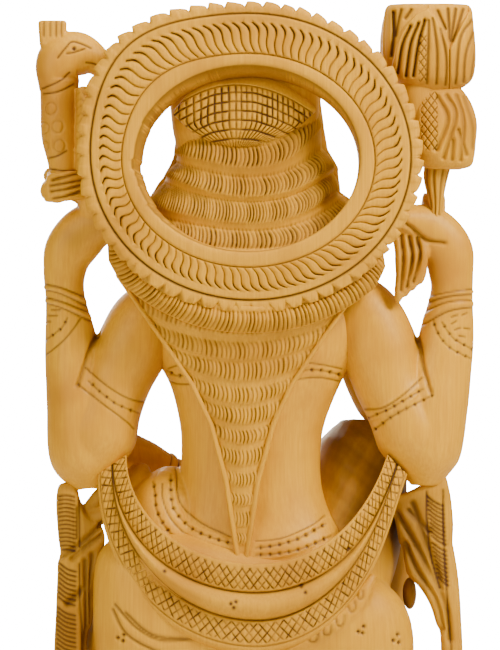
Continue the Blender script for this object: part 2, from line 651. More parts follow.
# The V of hair down her back. Down the back (v) the tiers follow one another, each rising
# out of a ledge; across it they sag, cut into strands, between two plain raised borders.
def hairPanel():
    s = panelSize
    heights = np.concatenate([[s["top"]], np.ravel(s["tiers"]), [s["tip"]]])
    last = len(heights) - 1
    rows = (s["ledgeRows"], s["tierRows"])
    v = [np.linspace(k, k + 1, rows[k % 2], endpoint=False) for k in range(last)]
    v = np.concatenate(v + [[last]])[:, None]
    number, f = v.astype(int), within(v)
    tier = (number % 2 == 1) & (v < last - 1)
    ledge = (number % 2 == 0) & (v > 1)
    zMid = np.interp(v, np.arange(last + 1), heights)
    inside = np.linspace(-1, 1, s["columns"])[None]
    low, span = s["spread"]
    share = np.clip((zMid - low) / span, 0, 1.1)
    rise, bow = s["rise"] * share**1.5, s["bow"] * share
    half = np.interp(zMid + rise, *np.array(s["outline"]).T) - s["border"]
    back = s["back"][0] + s["back"][1] * share**1.2 - 8 * eased(0.88, 1.1, share)
    roll = rolled(f, tier, ledge, s["roll"])
    x = inside * half
    carved = 0
    for k in range(1, last - 1, 2):
        band = (number == k) * eased(0.0, 0.12, f) * (1 - 0.8 * eased(0.8, 1.0, f))
        carved = carved + band * strands(x, f, s["pitch"] * (1.1 - 0.02 * k), k + 2, -1.6)
    reach = (roll - s["depth"] * carved) * np.minimum(1, 0.45 + share)
    z = zMid + rise * inside**2
    front = np.stack([x + s["x"], back - bow * inside**2 + reach, z], -1)
    out, up = np.array([s["borderOut"]]), np.array([s["borderUp"]])

    def border(side):
        edgeX = s["x"] + side * (half + out)
        edgeY = back - bow + up
        edge = np.stack([edgeX, edgeY, z[:, -1:] + 0 * out], -1)
        hidden = np.stack([edgeX[:, -1:], edgeY[:, -1:] - s["thick"] + 6, z[:, -1:]], -1)
        return np.concatenate([edge, hidden], 1)[:, ::side]

    rings = np.concatenate([border(-1), front, border(1)], 1)
    cut = np.zeros(rings.shape[:2])
    bordered = out.size + 1
    cut[:, bordered:-bordered] = carved * 0.7 + 0.1 * np.where(ledge, 1 - f, 0)
    cut[:, bordered - 1] = cut[:, -bordered] = 0.15
    piece("hairPanel", skin(rings, cut=cut), knifeCutWood)


hairPanel()

collarSize = {
    "middle": (3.8, 495), "inner": 104, "thick": 24, "columns": 700, "rows": 34,
    # Number of strands, the roll's length, their depth, and mm to a degree round the halo.
    "strands": 82, "length": 262, "depth": 2.9, "toDegree": 2.17,
    # How much the strands slant on her right and on her left, and between which angles.
    "slant": ((0.7, 262, 222), (-0.6, 285, 318)),
    # Angle round the halo, outer radius, and how far back the roll stands.
    "reach": [
        [206, 108, 46], [211, 117, 50], [216, 123, 54], [224, 126, 58], [245, 124, 64], [270, 122.5, 68],
        [295, 124, 64], [314, 125.5, 57], [321, 121, 52], [327, 108, 46],
    ],
}


# The thick roll of hair that hangs round the lower edge of the halo: a half-round profile
# carried along the halo's rim, cut like a rope into slanting strands.
def collarRoll():
    s = collarSize
    degrees = np.linspace(s["reach"][0][0], s["reach"][-1][0], s["columns"])[:, None]
    outer, face = levels(s["reach"], degrees)
    angle = np.radians(degrees)
    v = np.linspace(0, 1, s["rows"])[None]
    radius = s["inner"] + (outer - s["inner"]) * v
    # Only the outer part of the roll shows: it bulges, then falls to its edge.
    shown = np.clip((v - 0.25) / 0.75, 0, 1)
    bulge = np.sin(np.pi * (0.12 + 0.88 * shown)) ** 0.6
    slant = sum(much * eased(low, high, degrees) for much, low, high in s["slant"])
    pitch = s["length"] / s["strands"]
    x = (degrees - 270) * s["toDegree"]
    carved = strands(x + slant * 1.2 * pitch * v, v, pitch, 31, 0.7 * pitch)
    carved = carved * eased(0.15, 0.3, v) * (1 - eased(0.95, 1, v))
    y = face - 9 + 9.0 * bulge - s["depth"] * carved
    middleX, middleZ = s["middle"]
    front = np.stack([middleX - radius * np.cos(angle), y, middleZ + radius * np.sin(angle)], -1)
    behind = np.stack([front[:, [-1, 0], 0], face + 0 * v[:, :2] - s["thick"], front[:, [-1, 0], 2]], -1)
    rings = np.concatenate([front, behind], 1)
    cut = np.zeros(rings.shape[:2])
    cut[:, : s["rows"]] = carved * 0.9
    piece("collarRoll", skin(rings, cut=cut), knifeCutWood)


collarRoll()
print("hair made")
# How far flat points [x, z] are from a line of such places; well away from it, just 99 mm.
def farFrom(flat, line):
    around = 9
    spots = through(line, np.linspace(0, 1, 8 * (len(line) - 1) + 1))
    near = np.full(len(flat), 99.0)
    low, high = spots.min(0) - around, spots.max(0) + around
    close = np.flatnonzero(((flat > low) & (flat < high)).all(1))
    some = flat[close]
    for a, b in zip(spots[:-1], spots[1:]):
        t = np.clip((some - a) @ (b - a) / max((b - a) @ (b - a), 1e-9), 0, 1)
        near[close] = np.minimum(near[close], np.linalg.norm(some - a - t[:, None] * (b - a), axis=1))
    return near


# Places at an even pitch along a line, for dots punched in a row.
def dotsAlong(line, pitch):
    fine = through(line, np.linspace(0, 1, 200))
    far = lengthAlong(fine)
    at = np.arange(0.5 * pitch, far[-1], pitch)
    return np.stack([np.interp(at, far, fine[:, k]) for k in (0, 1)], -1)


# Knife work on grown wood, seen from one side (1 the back, -1 the front): cut lines, lines
# with dots punched along them, single dots, and bands that stand out. shade is how much
# the wood darkens where it is cut.
def knifeWork(
    solid, side=1, lines=(), dotted=(), dots=(), raised=(),
    width=0.8, depth=0.8, pitch=6.6, radius=1.3, shade=1.0,
):
    points, faces, normals, shaded = solid
    flat = points[:, [0, 2]]
    faced = eased(0.05, 0.35, side * normals[:, 1])
    cut, height = np.zeros(len(points)), np.zeros(len(points))
    for group, strength in ((lines, 1.0), (dotted, 0.8)):
        for line in group:
            cut = np.maximum(cut, strength * ridge(farFrom(flat, line), width))
    for spot in [spot for line in dotted for spot in dotsAlong(line, pitch)] + [*dots]:
        cut = np.maximum(cut, 2.2 * ridge(np.hypot(flat[:, 0] - spot[0], flat[:, 1] - spot[1]), radius))
    for line, half, lift in raised:
        height = np.maximum(height, lift * (1 - eased(half - 0.8, half + 0.8, farFrom(flat, line))))
    moved = points + normals * ((height - depth * cut) * faced)[:, None]
    return moved, faces, normals, np.clip(shaded + shade * cut * faced, 0, 1)


# A grown solid as a finished piece.
def grownPiece(name, solid, wood):
    points, faces, _, shade = solid
    piece(name, (points, faces, shade), wood)


# Stains on points as seen from behind, each [x, z, radius, strength].
def stained(points, stains):
    flat = points[:, [0, 2]]
    return sum(
        strength * np.exp(-((flat - (x, z)) ** 2).sum(1) / radius**2) for x, z, radius, strength in stains
    )


# Place along a finger and its share of the full radius: it swells at its two joints.
fingerProfile = (
    (0, 0.9), (0.12, 1.0), (0.3, 0.92), (0.45, 1.03), (0.62, 0.88), (0.75, 0.95), (0.9, 0.8), (0.98, 0.45),
    (1, 0.1),
)


# Fingers side by side, each from the palm to its round end.
def fingers(s):
    start, end = np.array(s["from"], float), np.array(s["to"], float)
    bow = np.array(s.get("bow", (0, 0, 0)), float)
    made = []
    for k in range(s["count"]):
        a, b = start + np.array(s["step"]) * k, end + np.array(s.get("tipStep", s["step"])) * k
        rows = []
        for t, share in fingerProfile:
            radius = s["radius"] * share
            rows.append([*(a + (b - a) * t + bow * 4 * t * (1 - t)), radius, radius])
        made.append(skin(limb(rows, sides=20, rows=40, up=s.get("up", (0, 1, 0)))))
    return made


leftArmShape = {
    "voxel": 1.1, "smoothing": 5,
    "upper": [
        [60, 2, 396, 14, 16], [76, 3, 384, 24, 23], [87, 4, 363, 26, 25], [97, 4, 342, 24.5, 24],
        [105, 4, 322, 25, 25], [112.5, 4, 300, 28, 26], [116, 4, 281, 21, 19], [117, 4, 263, 10, 10],
    ],
    "fore": [
        [118, 4, 263, 10, 10], [121.5, 4, 284, 24, 22], [125, 4, 322, 23, 23], [129.5, 5, 350, 19.5, 19],
        [131, 6, 370, 18, 17], [134.5, 10, 397, 14, 14], [135, 12, 415, 15, 14], [131, 14, 431, 18, 14],
        [119, 17, 445, 18, 13], [104, 21, 451, 14, 12], [90, 26, 456, 10, 12], [84, 28, 457, 4, 5],
    ],
    "palm": [
        [112, 18, 449, 10, 9], [115, 23, 458, 9, 9], [117, 27, 468, 9, 9], [122, 28, 476, 9, 10],
        [130, 28, 477, 10, 10], [141, 28, 475, 12, 10.5], [147, 28, 474, 9, 9], [151, 28, 475, 3, 5],
    ],
    "fingers": {
        "count": 4, "from": (119, 33, 484), "to": (147, 33, 481), "step": (0.6, 0, -5.0), "radius": 3.3,
        "bow": (0, 5, 0),
    },
    "thumb": [
        [120, 18, 466, 5, 5], [136, 14, 474, 5.2, 5], [145, 18, 482, 4.6, 4.6], [144, 25, 486, 3.5, 3.5],
    ],
    "creases": [[[110.5, 376], [111.8, 371.7], [116.8, 360.5], [121, 347.9], [125.6, 335.5]]],
    "grooves": [
        [[143, 479.4], [134, 481.5], [123, 484.5]], [[144, 475.5], [134, 477], [122, 479.4]],
        [[144, 471.5], [134, 473], [121, 476]], [[142, 466.4], [134, 468], [122, 471.5]],
    ],
    "bangles": [
        [[150.5, 407], [136.7, 404], [120.5, 397.4]], [[150.5, 403.2], [136.7, 399.7], [118.5, 391]],
        [[151, 397.8], [136.7, 394.3], [117, 386.4]], [[151, 394.2], [136.7, 390], [116, 380.6]],
        [[123.5, 382.3], [129, 374.5], [136.7, 366], [149, 356.5]], [[144.2, 388.5], [137.8, 388.5]],
        [[146.4, 384.7], [139.9, 384.7]], [[147.4, 380.5], [144.8, 380.5]],
        [[119.5, 348], [109.9, 339.2], [96, 329.6], [84.2, 324.7], [77, 324.1]],
        [[125, 336.2], [111, 325.2], [92, 311], [86, 305]],
    ],
    "dotted": [
        [[132.5, 383], [136.2, 376.7], [141, 372.7], [149, 367]],
        [[117.5, 338.5], [111, 332.2], [104.8, 327.4], [97.1, 322.1], [82, 315.8]],
    ],
    "raised": [
        ([[151, 405], [136.7, 401.8], [119, 394.2]], 1.7, 1.3),
        ([[151, 396], [136.7, 392.2], [116, 383.6]], 1.7, 1.3),
    ],
    "stains": [
        [128, 438, 9, 0.3], [112, 446, 12, 0.3], [113, 368, 7, 0.35], [60, 320, 12, 0.15],
        [140, 330, 14, 0.08],
    ],
}
rightArmShape = {
    "voxel": 1.1, "smoothing": 5,
    "upper": [
        [-56, 2, 398, 17, 17], [-73, 3, 386.5, 26, 23], [-85.5, 4, 364, 27.5, 25], [-93, 4, 340, 25.5, 24],
        [-102, 4, 320, 25, 25], [-111.5, 4, 300, 27, 26], [-117, 4, 283, 21, 19], [-119, 4, 266, 10, 10],
    ],
    "fore": [
        [-120, 4, 265, 10, 10], [-120.5, 4, 286, 23, 22], [-126, 4, 323, 23.5, 23], [-131, 5, 350, 21, 19],
        [-134.2, 6, 372, 19.2, 17], [-137.4, 10, 400, 15, 14], [-137, 12, 415, 15.8, 14],
        [-134, 15, 431, 18, 14], [-122, 18, 445, 17, 13], [-108, 22, 451, 12, 12], [-97, 26, 452, 8, 10],
        [-92, 28, 452, 3, 4],
    ],
    "palm": [[-122, 12, 446, 9, 9], [-124, 12, 458, 9, 8], [-125, 14, 470, 8, 8]],
    "fingers": {
        "count": 4, "from": (-98, 24, 446), "to": (-99, 25, 393), "step": (-5.7, 0, -0.5),
        "tipStep": (-4.9, 0, 4.4), "radius": 4.0, "bow": (-2.5, 3, 0), "up": (1, 0, 0),
    },
    "thumb": [[-112, 8, 442, 5, 5], [-121, 4, 450, 5, 5], [-127, 6, 459, 4.4, 4.4], [-127, 12, 466, 3, 3]],
    "grooves": [
        [[-101.3, 441], [-102.8, 424], [-101.5, 402]], [[-107, 440], [-109, 424], [-105.5, 404]],
        [[-112.6, 439], [-114.5, 426], [-110, 408]],
    ],
    "creases": [
        [[-112.6, 374], [-113.4, 368.9], [-115.2, 360.5], [-116.9, 348.6], [-120, 337.4], [-122.2, 331.1]],
        [[-104, 449], [-108.6, 445.9], [-119.1, 437.5], [-132, 435.4]],
    ],
    "bangles": [
        [[-119.5, 397], [-134, 400.8], [-155, 403.6]], [[-118, 393], [-135.1, 398.1], [-155, 399.9]],
        [[-116.5, 386.5], [-129.7, 392.7], [-140.3, 394.9], [-155, 395.2]],
        [[-115.5, 377.4], [-127.6, 384.2], [-138.2, 388.5], [-155, 391]],
        [[-136.9, 378.7], [-140.4, 380.8]], [[-139, 374.5], [-143.2, 375.9]],
        [[-144.6, 385], [-148.1, 386.4]], [[-142.5, 370.3], [-146.7, 369.6]],
        [[-146, 375.9], [-150.2, 375.2]], [[-136.9, 383.6], [-141.1, 385]],
        [[-76.5, 318.7], [-88.5, 319.9], [-100.8, 327.3], [-116.5, 341]],
    ],
    "dotted": [
        [[-123.8, 381.5], [-126.5, 373.9], [-130.8, 367], [-138.2, 360.5], [-153, 353.5]],
        [[-130.3, 379.8], [-135.1, 372.4], [-140.3, 367.2], [-154, 360]],
        [[-76, 311], [-84, 315], [-93.7, 319.3], [-100, 323.1], [-106.7, 327], [-117, 333]],
        [[-81, 302.5], [-91, 311], [-103.9, 318.8], [-110.5, 322], [-124, 329]],
    ],
    "raised": [
        ([[-118.5, 395], [-134.5, 399.4], [-155, 401.7]], 1.5, 1.3),
        ([[-116, 382], [-128.6, 388.4], [-139.2, 391.7], [-155, 393]], 2.2, 1.2),
        ([[-76, 314], [-88, 317], [-102, 325], [-116, 337]], 4.5, 0.8),
    ],
    "stains": [[-112, 436, 7, 0.15], [-116, 362, 6, 0.3], [-105, 312, 12, 0.1]],
}


# A raised back arm: upper arm, forearm, palm, fingers and thumb grown together, then the
# bangles, the cuff below them, the armlet and the creases cut into it.
def backArm(name, s):
    solids = limbs(s, upper=(44, 70), fore=(44, 90), palm=(24, 30), thumb=(18, 24)) + fingers(s["fingers"])
    arm = knifeWork(grown(solids, s), lines=s["creases"], width=1.5, depth=2.4, shade=0.55)
    arm = knifeWork(arm, lines=s["grooves"], width=1.1, depth=2.4, shade=0.85)
    points, faces, normals, shade = knifeWork(
        arm, lines=s["bangles"], dotted=s["dotted"], raised=s["raised"],
        width=0.75, depth=0.7, radius=1.0, shade=0.8,
    )
    # Handling has darkened the hollows.
    grownPiece(name, (points, faces, normals, shade + stained(points, s["stains"])), waxedWood)


backArm("backLeftArm", leftArmShape)
backArm("backRightArm", rightArmShape)
print("back arms made")

torsoShape = {
    "voxel": 1.15, "smoothing": 4,
    "sections": [
        [2, 4, 196, 88, 41], [2, 4, 222, 70, 37], [2.5, 3, 240, 57, 33], [4, 3, 262, 50.5, 30],
        [4, 3, 286, 49, 29], [3, 2, 308, 51, 31], [1, 0, 336, 60, 36], [1, 0, 360, 73, 38],
        [1, 0, 380, 78, 36], [1, 1, 396, 68, 30], [2, 2, 409, 42, 26], [3, 2, 424, 25, 24],
        [5, -4, 462, 23, 22],
    ],
    # Her left hip rises under the forearm that rests on it.
    "hip": [
        [72, 2, 196, 22, 30], [70, 1, 222, 31, 34], [63, -2, 248, 30, 29], [60, -8, 262, 22, 22],
        [59, -14, 270, 13, 14],
    ],
    "flank": [
        [88, -6, 212, 14, 16], [87, -7, 236, 15, 17], [85, -9, 258, 13, 16], [82, -12, 272, 10, 13],
        [79, -14, 279, 4, 6],
    ],
    "breast": {"x": (29, -25), "place": (-26, 340), "half": (24, 25, 24)},
    # Cut from the back: blouse straps, then the belts on the hips.
    "lines": [
        [[62, 347.2], [53, 350.5]], [[60.5, 338], [55, 336.4], [45, 336.4]],
        [[-29, 352], [-44, 350.4], [-60, 347]], [[-29, 340], [-44, 341], [-60, 338]],
        [[57.4, 280], [56.4, 274.4], [53.6, 254.1], [41, 240.8], [23.5, 232.4], [18, 230]],
        [[66, 266], [65.5, 255], [60, 242], [48.5, 230.5], [34, 224.5], [17, 220]],
        [[0.4, 226.8], [-17.9, 228.9], [-37.9, 237.3], [-48, 244]],
    ],
    "dotted": [
        [[63, 345.8], [56.4, 342.3], [50, 343]], [[-29, 346], [-44, 346.2], [-60, 342.6]],
        [[73, 268], [71.3, 261.3], [69.7, 247.4], [61.3, 233.4], [50, 224.5], [36.8, 219.5], [18.2, 215.6]],
        [[60, 272], [60.1, 262.5], [57.9, 248.5], [46.7, 236.2], [31.2, 229], [16.5, 225.1]],
        [[0.4, 221.9], [-13.3, 223.7], [-29, 228.2], [-48, 238]],
        [[0.4, 217.2], [-12.3, 217.7], [-31.2, 221.2], [-52, 230]],
    ],
    "raised": [
        ([[64, 268], [63.5, 255], [58, 241], [46, 230.5], [32, 225], [18, 221]], 7.5, 0.9),
        ([[0.4, 220], [-13, 221.5], [-30, 226], [-51, 237]], 7, 0.9),
    ],
    # Cut from the front: the blouse's hem and neckline, and the belt below the navel.
    "frontLines": [
        [[-50, 322], [-38, 313], [-12, 313], [2, 320], [16, 313], [42, 313], [54, 322]],
        [[-46, 396], [-38, 376], [-24, 362], [2, 352], [28, 362], [42, 376], [50, 396]],
        [[-52, 232], [-30, 224], [2, 220], [34, 224], [58, 232]],
        [[-56, 244], [-32, 236], [2, 232], [36, 236], [62, 244]],
    ],
    "frontDotted": [
        [[-48, 318], [-38, 309], [-12, 309], [2, 316], [16, 309], [42, 309], [52, 318]],
        [[-54, 238], [-31, 230], [2, 226], [35, 230], [60, 238]],
        [[-42, 396], [-35, 379], [-22, 366], [2, 356], [26, 366], [39, 379], [46, 396]],
    ],
    "furrow": {"x": 2, "width": 9, "depth": 2.2}, "navel": (2, 268, 2.6),
}


# Torso and neck: a soft furrow down the back, breasts in a tight blouse, belts on the hips.
def torso():
    s = torsoShape
    b = s["breast"]
    solids = [skin(stack(s["sections"], sides=96, rows=120))]
    solids += [skin(egg((x, *b["place"]), b["half"])) for x in b["x"]]
    solids += limbs(s, hip=(48, 40), flank=(40, 30))
    points, faces, normals, _ = grown(solids, s)
    x, z = points[:, 0], points[:, 2]
    f = s["furrow"]
    furrow = ridge(x - f["x"], f["width"]) * eased(0.2, 0.8, normals[:, 1]) * eased(215, 250, z) * f["depth"]
    navelX, navelZ, navelSize = s["navel"]
    hole = ridge(np.hypot(x - navelX, (z - navelZ) * 0.8), navelSize) * (normals[:, 1] < -0.3)
    points = points - normals * (furrow + navelSize * hole)[:, None]
    body = knifeWork(
        (points, faces, normals, 0.6 * hole), 1, s["lines"], s["dotted"], raised=s["raised"],
        width=0.7, depth=0.8, radius=1.15, shade=0.8,
    )
    body = knifeWork(body, -1, s["frontLines"], s["frontDotted"], width=1.0, depth=1.0, pitch=5)
    grownPiece("torso", body, waxedWood)


torso()

lowerBodyShape = {
    "voxel": 1.25, "smoothing": 6,
    # The hips rise towards her left. A hem with small leaf loops lies below the shawl.
    "hips": {"centre": (2, 4, 163), "half": (113, 50, 62), "square": 3.4, "rise": 0.19},
    "rightThigh": [
        [-40, 8, 162, 34, 34], [-60, -12, 206, 37, 34], [-70, -30, 246, 36, 34], [-73, -39, 276, 34, 32],
        [-73.5, -42, 296, 28, 26], [-73.5, -42, 311, 13, 12],
    ],
    "rightShin": [
        [-73, -44, 308, 12, 11], [-75, -46, 292, 27, 24], [-77, -47, 274, 29, 25], [-82, -50, 240, 27, 24],
        [-84, -50, 198, 26, 23], [-80, -50, 150, 18, 18], [-77, -50, 112, 16, 16],
    ],
    "leftThigh": [
        [44, 8, 158, 44, 40], [70, -8, 158, 44, 38], [94, -24, 150, 37, 33], [112, -35, 142, 26, 24],
        [123, -41, 137, 12, 12],
    ],
    "leftShin": [
        [121, -40, 134, 12, 12], [104, -45, 134, 23, 19], [66, -50, 132, 24, 20], [20, -53, 127, 18, 16],
        [-14, -56, 122, 12, 13],
    ],
    "lap": [[-64, -36, 128, 24, 24], [-20, -45, 131, 27, 22], [50, -40, 136, 28, 22]],
    "hem": [
        [-82, 40, 203, 3, 3], [-77, 44, 194, 4.6, 4], [-71, 46.5, 183.5, 5.4, 4.6],
        [-62, 48.5, 173, 5.6, 4.8], [-50, 50, 164.5, 5.4, 4.8], [-37, 51, 158, 5, 4.4],
        [-18, 51.5, 152, 4, 4], [2, 51.5, 148.5, 2.5, 3],
    ],
    "foldPitch": 7.5, "foldDepth": 1.1, "roughness": 0.45,
    # Cut on the back of the hips: three folds that sweep down, and punched dots in threes.
    "backLines": [
        [[99, 182.7], [84.4, 167], [66.9, 158.2], [44.5, 159.2], [30, 163]],
        [[91.4, 177.1], [79.1, 165.8], [67.9, 160.3], [48, 159.2]],
        [[100.5, 179.2], [92.8, 164.5], [81.6, 156], [64, 148]],
    ],
    "backDots": [
        [-71.1, 164.1], [-75, 167.7], [-74.1, 163.1], [-99.1, 161.7], [-95.9, 157.5], [-100, 156],
        [97, 159.6], [93, 161.7], [93.5, 157.5],
    ],
    "loops": [
        [[-69.6, 192.5], [-71.4, 187.2], [-74.5, 188], [-74.2, 192.5]],
        [[-62.8, 183.6], [-66, 178], [-69.2, 180.4], [-68.4, 185]],
        [[-54.9, 174.5], [-57, 168.2], [-60.8, 169.6], [-61.3, 175.2]],
        [[-46, 168.5], [-47.2, 162.4], [-51.3, 162.8], [-52.3, 168.6]],
        [[-36, 163.6], [-37, 157.6], [-41.5, 157.4], [-43, 162.8]],
    ],
    "stains": [[-45, 160, 10, 0.2], [-58, 163, 6, 0.12], [-95, 218, 16, 0.6], [-97, 246, 16, 0.5]],
}


# Distance along the nearest place of a limb's middle line, and how near that is.
def alongLimb(points, sections, samples=60):
    line = through(sections, np.linspace(0, 1, samples))[:, :3]
    far = lengthAlong(line)
    gap = np.linalg.norm(points[:, None] - line[None], axis=2)
    before = np.clip(gap.argmin(1), 0, samples - 2)
    step = line[before + 1] - line[before]
    t = np.einsum("ij,ij->i", points - line[before], step) / np.einsum("ij,ij->i", step, step)
    return far[before] + np.clip(t, -1, 2) * (far[before + 1] - far[before]), gap.min(1)


# Hips and folded legs under a dhoti: fine folds run round the limbs and across the lap in
# front, and a rolled hem with leaf loops lies on the hips behind.
def lowerBody():
    s = lowerBodyShape
    legs = ("rightThigh", "rightShin", "leftThigh", "leftShin", "lap")
    h = s["hips"]
    hips = egg(h["centre"], h["half"], sides=96, rows=60, square=h["square"])
    hips[..., 2] += h["rise"] * hips[..., 0] * eased(110, 190, hips[..., 2])
    points, faces, normals, _ = grown([skin(hips)] + limbs(s, **{k: (48, 60) for k in (*legs, "hem")}), s)
    x, y, z = points.T
    reached = np.stack([np.stack(alongLimb(points, s[leg])) for leg in legs])
    nearest = reached[:, 1].argmin(0)
    along = np.take_along_axis(reached[:, 0], nearest[None], 0)[0]
    fold = within((along + 3 * np.sin(z / 13 + y / 17)) / s["foldPitch"])
    folds = np.exp(-fold / 0.16) + np.exp(-(1 - fold) / 0.06)
    folds = folds * eased(0.25, -0.25, normals[:, 1]) * eased(110, 124, z)
    points = points - normals * (s["foldDepth"] * folds)[:, None]
    # The wood behind her raised knee is rough from the gouge and dark with oil.
    x, y, z = points.T
    behind = eased(-40, -60, x) * eased(215, 240, z) * eased(-0.2, 0.3, normals[:, 1])
    rough = wander((x + 0.6 * z) / 4.5, 41) + wander((z - 0.8 * x) / 6.5, 42)
    points = points + normals * (s["roughness"] * rough * behind)[:, None]
    oiled = 0.12 + (0.55 - 0.09 * rough) * behind + stained(points, s["stains"]) * (normals[:, 1] > -0.3)
    body = (points, faces, normals, np.maximum(0.75 * folds, oiled))
    body = knifeWork(
        body, 1, s["backLines"], dots=s["backDots"], width=1.1, depth=1.3, radius=1.15, shade=0.65,
    )
    body = knifeWork(body, 1, s["loops"], width=0.9, depth=1.1, shade=0.5)
    grownPiece("hipsAndLegs", body, waxedWood)


lowerBody()
print("body made")

shawlSize = {
    "x": 0.35, "columns": 560, "elbowY": 20, "middleY": 56, "thick": 9,
    # Half ellipses: height of the middle, drop, half widths on her left and right.
    "inner": (287, 75.6, 91, 82.6), "outer": (273, 124.6, 111.3, 96),
    "hatch": 5.9, "slope": 0.8, "hatchDepth": 1.2, "foldHeight": 7.5, "bandHeight": 1.6, "border": 0.91,
    # Over her right elbow the ends flare out: how far, and how soon it fades, at both edges.
    "flare": ((9.8, 2.6), (10.5, 4.5)),
    # Punched dots on the fold and the hem.
    "dots": [
        [64, 206.5], [-64.8, 221.9], [17.9, 184.1], [14.4, 185.5], [15.8, 181.3], [-31.2, 196], [-34, 191.8],
    ],
}


# The shawl from elbow to elbow behind her waist and hips. Across it (share) lie a
# cross-hatched band, a smooth fold that narrows to a point at both elbows, a second hatched
# band and a plain border. Along it the angle runs from her left elbow to her right.
def shawl():
    s = shawlSize
    angle = np.linspace(0, np.pi, s["columns"])[:, None]
    share = np.concatenate([
        [0.0, 0.01, 0.02, 0.035], np.linspace(0.05, 0.29, 24), np.linspace(0.3, 0.345, 7),
        np.linspace(0.36, 0.59, 16), np.linspace(0.6, 0.645, 7), np.linspace(0.66, 0.88, 24),
        np.linspace(0.89, 0.93, 6), [0.95, 0.97, 0.985, 0.995, 1.0],
    ])[None]
    side, droop = np.cos(angle), np.clip(np.sin(angle), 0, 1)

    def edge(curve):
        z, drop, left, right = curve
        return np.concatenate([s["x"] + np.where(side > 0, left, right) * side, z - drop * droop], 1)

    inner, outer = edge(s["inner"]), edge(s["outer"])
    for line, (reach, fade) in zip((inner, outer), s["flare"]):
        line[:, :1] -= reach * (1 - droop) ** fade * (side < 0)
    along = lengthAlong((inner + outer) / 2)[:, None]
    width = np.linalg.norm(outer - inner, axis=1)[:, None]
    # Towards the elbows the fold narrows: its two edges run together.
    pinch = 1 - droop**1.1
    foldTop, foldFoot, border = 0.32 + 0.16 * pinch, 0.62 - 0.13 * pinch, s["border"]
    across = share * width
    lean = s["slope"] * across
    first, second = (along - lean) / s["hatch"], (along + lean) / s["hatch"]
    upper = eased(0.03, 0.06, share) * (1 - eased(foldTop - 0.05, foldTop - 0.02, share))
    lower = eased(foldFoot + 0.02, foldFoot + 0.05, share) * (1 - eased(border - 0.05, border - 0.02, share))
    # Knife strokes: each is short and its depth varies, so that some miss their crossing.
    firstDepth = 0.75 + 0.45 * wander(np.floor(first) * 2.3 + across / 5, 8)
    secondDepth = 0.75 + 0.45 * wander(np.floor(second) * 1.9 + across / 5, 9)
    firstCut = ridge(within(first) - 0.5, 0.11) * firstDepth
    secondCut = ridge(within(second + 0.08 * wander(along / 9, 3)) - 0.5, 0.11) * secondDepth
    hatch = np.maximum(firstCut, secondCut) * (upper + lower)
    grooves = sum(ridge((share - at) * width, 0.8) for at in (foldTop, foldFoot))
    grooves = grooves + 0.6 * ridge((share - border) * width, 0.7)
    k = np.clip((share - foldTop) / (foldFoot - foldTop), 0, 1)
    full = np.minimum(1, 0.3 + droop)
    fold = np.sin(np.pi * k) ** 0.7 * s["foldHeight"] * full
    bands = (share / foldTop, (share - foldFoot) / (1 - foldFoot))
    bulge = sum(s["bandHeight"] * np.sin(np.pi * np.clip(band, 0, 1)) for band in bands)
    y = s["elbowY"] + (s["middleY"] - s["elbowY"]) * droop**0.8 + (2 + bulge) * full
    y = y + fold - s["hatchDepth"] * hatch - 1.5 * grooves - 2.5 * np.exp(-(1 - share) * width / 1.2)
    flat = inner[:, None] + (outer - inner)[:, None] * share[..., None]
    nearest = np.min([np.linalg.norm(flat - np.array(spot), axis=-1) for spot in s["dots"]], axis=0)
    punched = ridge(nearest, 1.2)
    y = y - 1.3 * punched
    front = np.concatenate([flat, y[..., None]], -1)
    hidden = np.concatenate([flat[:, [-1, 0]], (y[:, [-1, 0]] - s["thick"])[..., None]], -1)
    rings = np.concatenate([front, hidden], 1)[..., [0, 2, 1]]
    cut = np.concatenate([0.11 + 1.05 * hatch + 0.75 * grooves + 1.3 * punched, 0 * y[:, :2]], 1)
    piece("shawl", skin(rings, cut=cut), knifeCutWood)


shawl()


# Slanting knife strokes down a strip: each starts at one edge, bows and runs out at the
# other. The strip is given as [edge X, other edge X, Z] at its top and its foot.
def slantStrokes(top, foot, pitch, drop, bow):
    count = int((top[2] - foot[2]) / pitch)
    made = []
    for k in range(count):
        t = (k + 0.5) / count
        x0, x1, z = (top[n] + (foot[n] - top[n]) * t for n in range(3))
        made.append([[x0, z], [(x0 + x1) / 2, z - drop / 2 - bow], [x1, z - drop]])
    return made


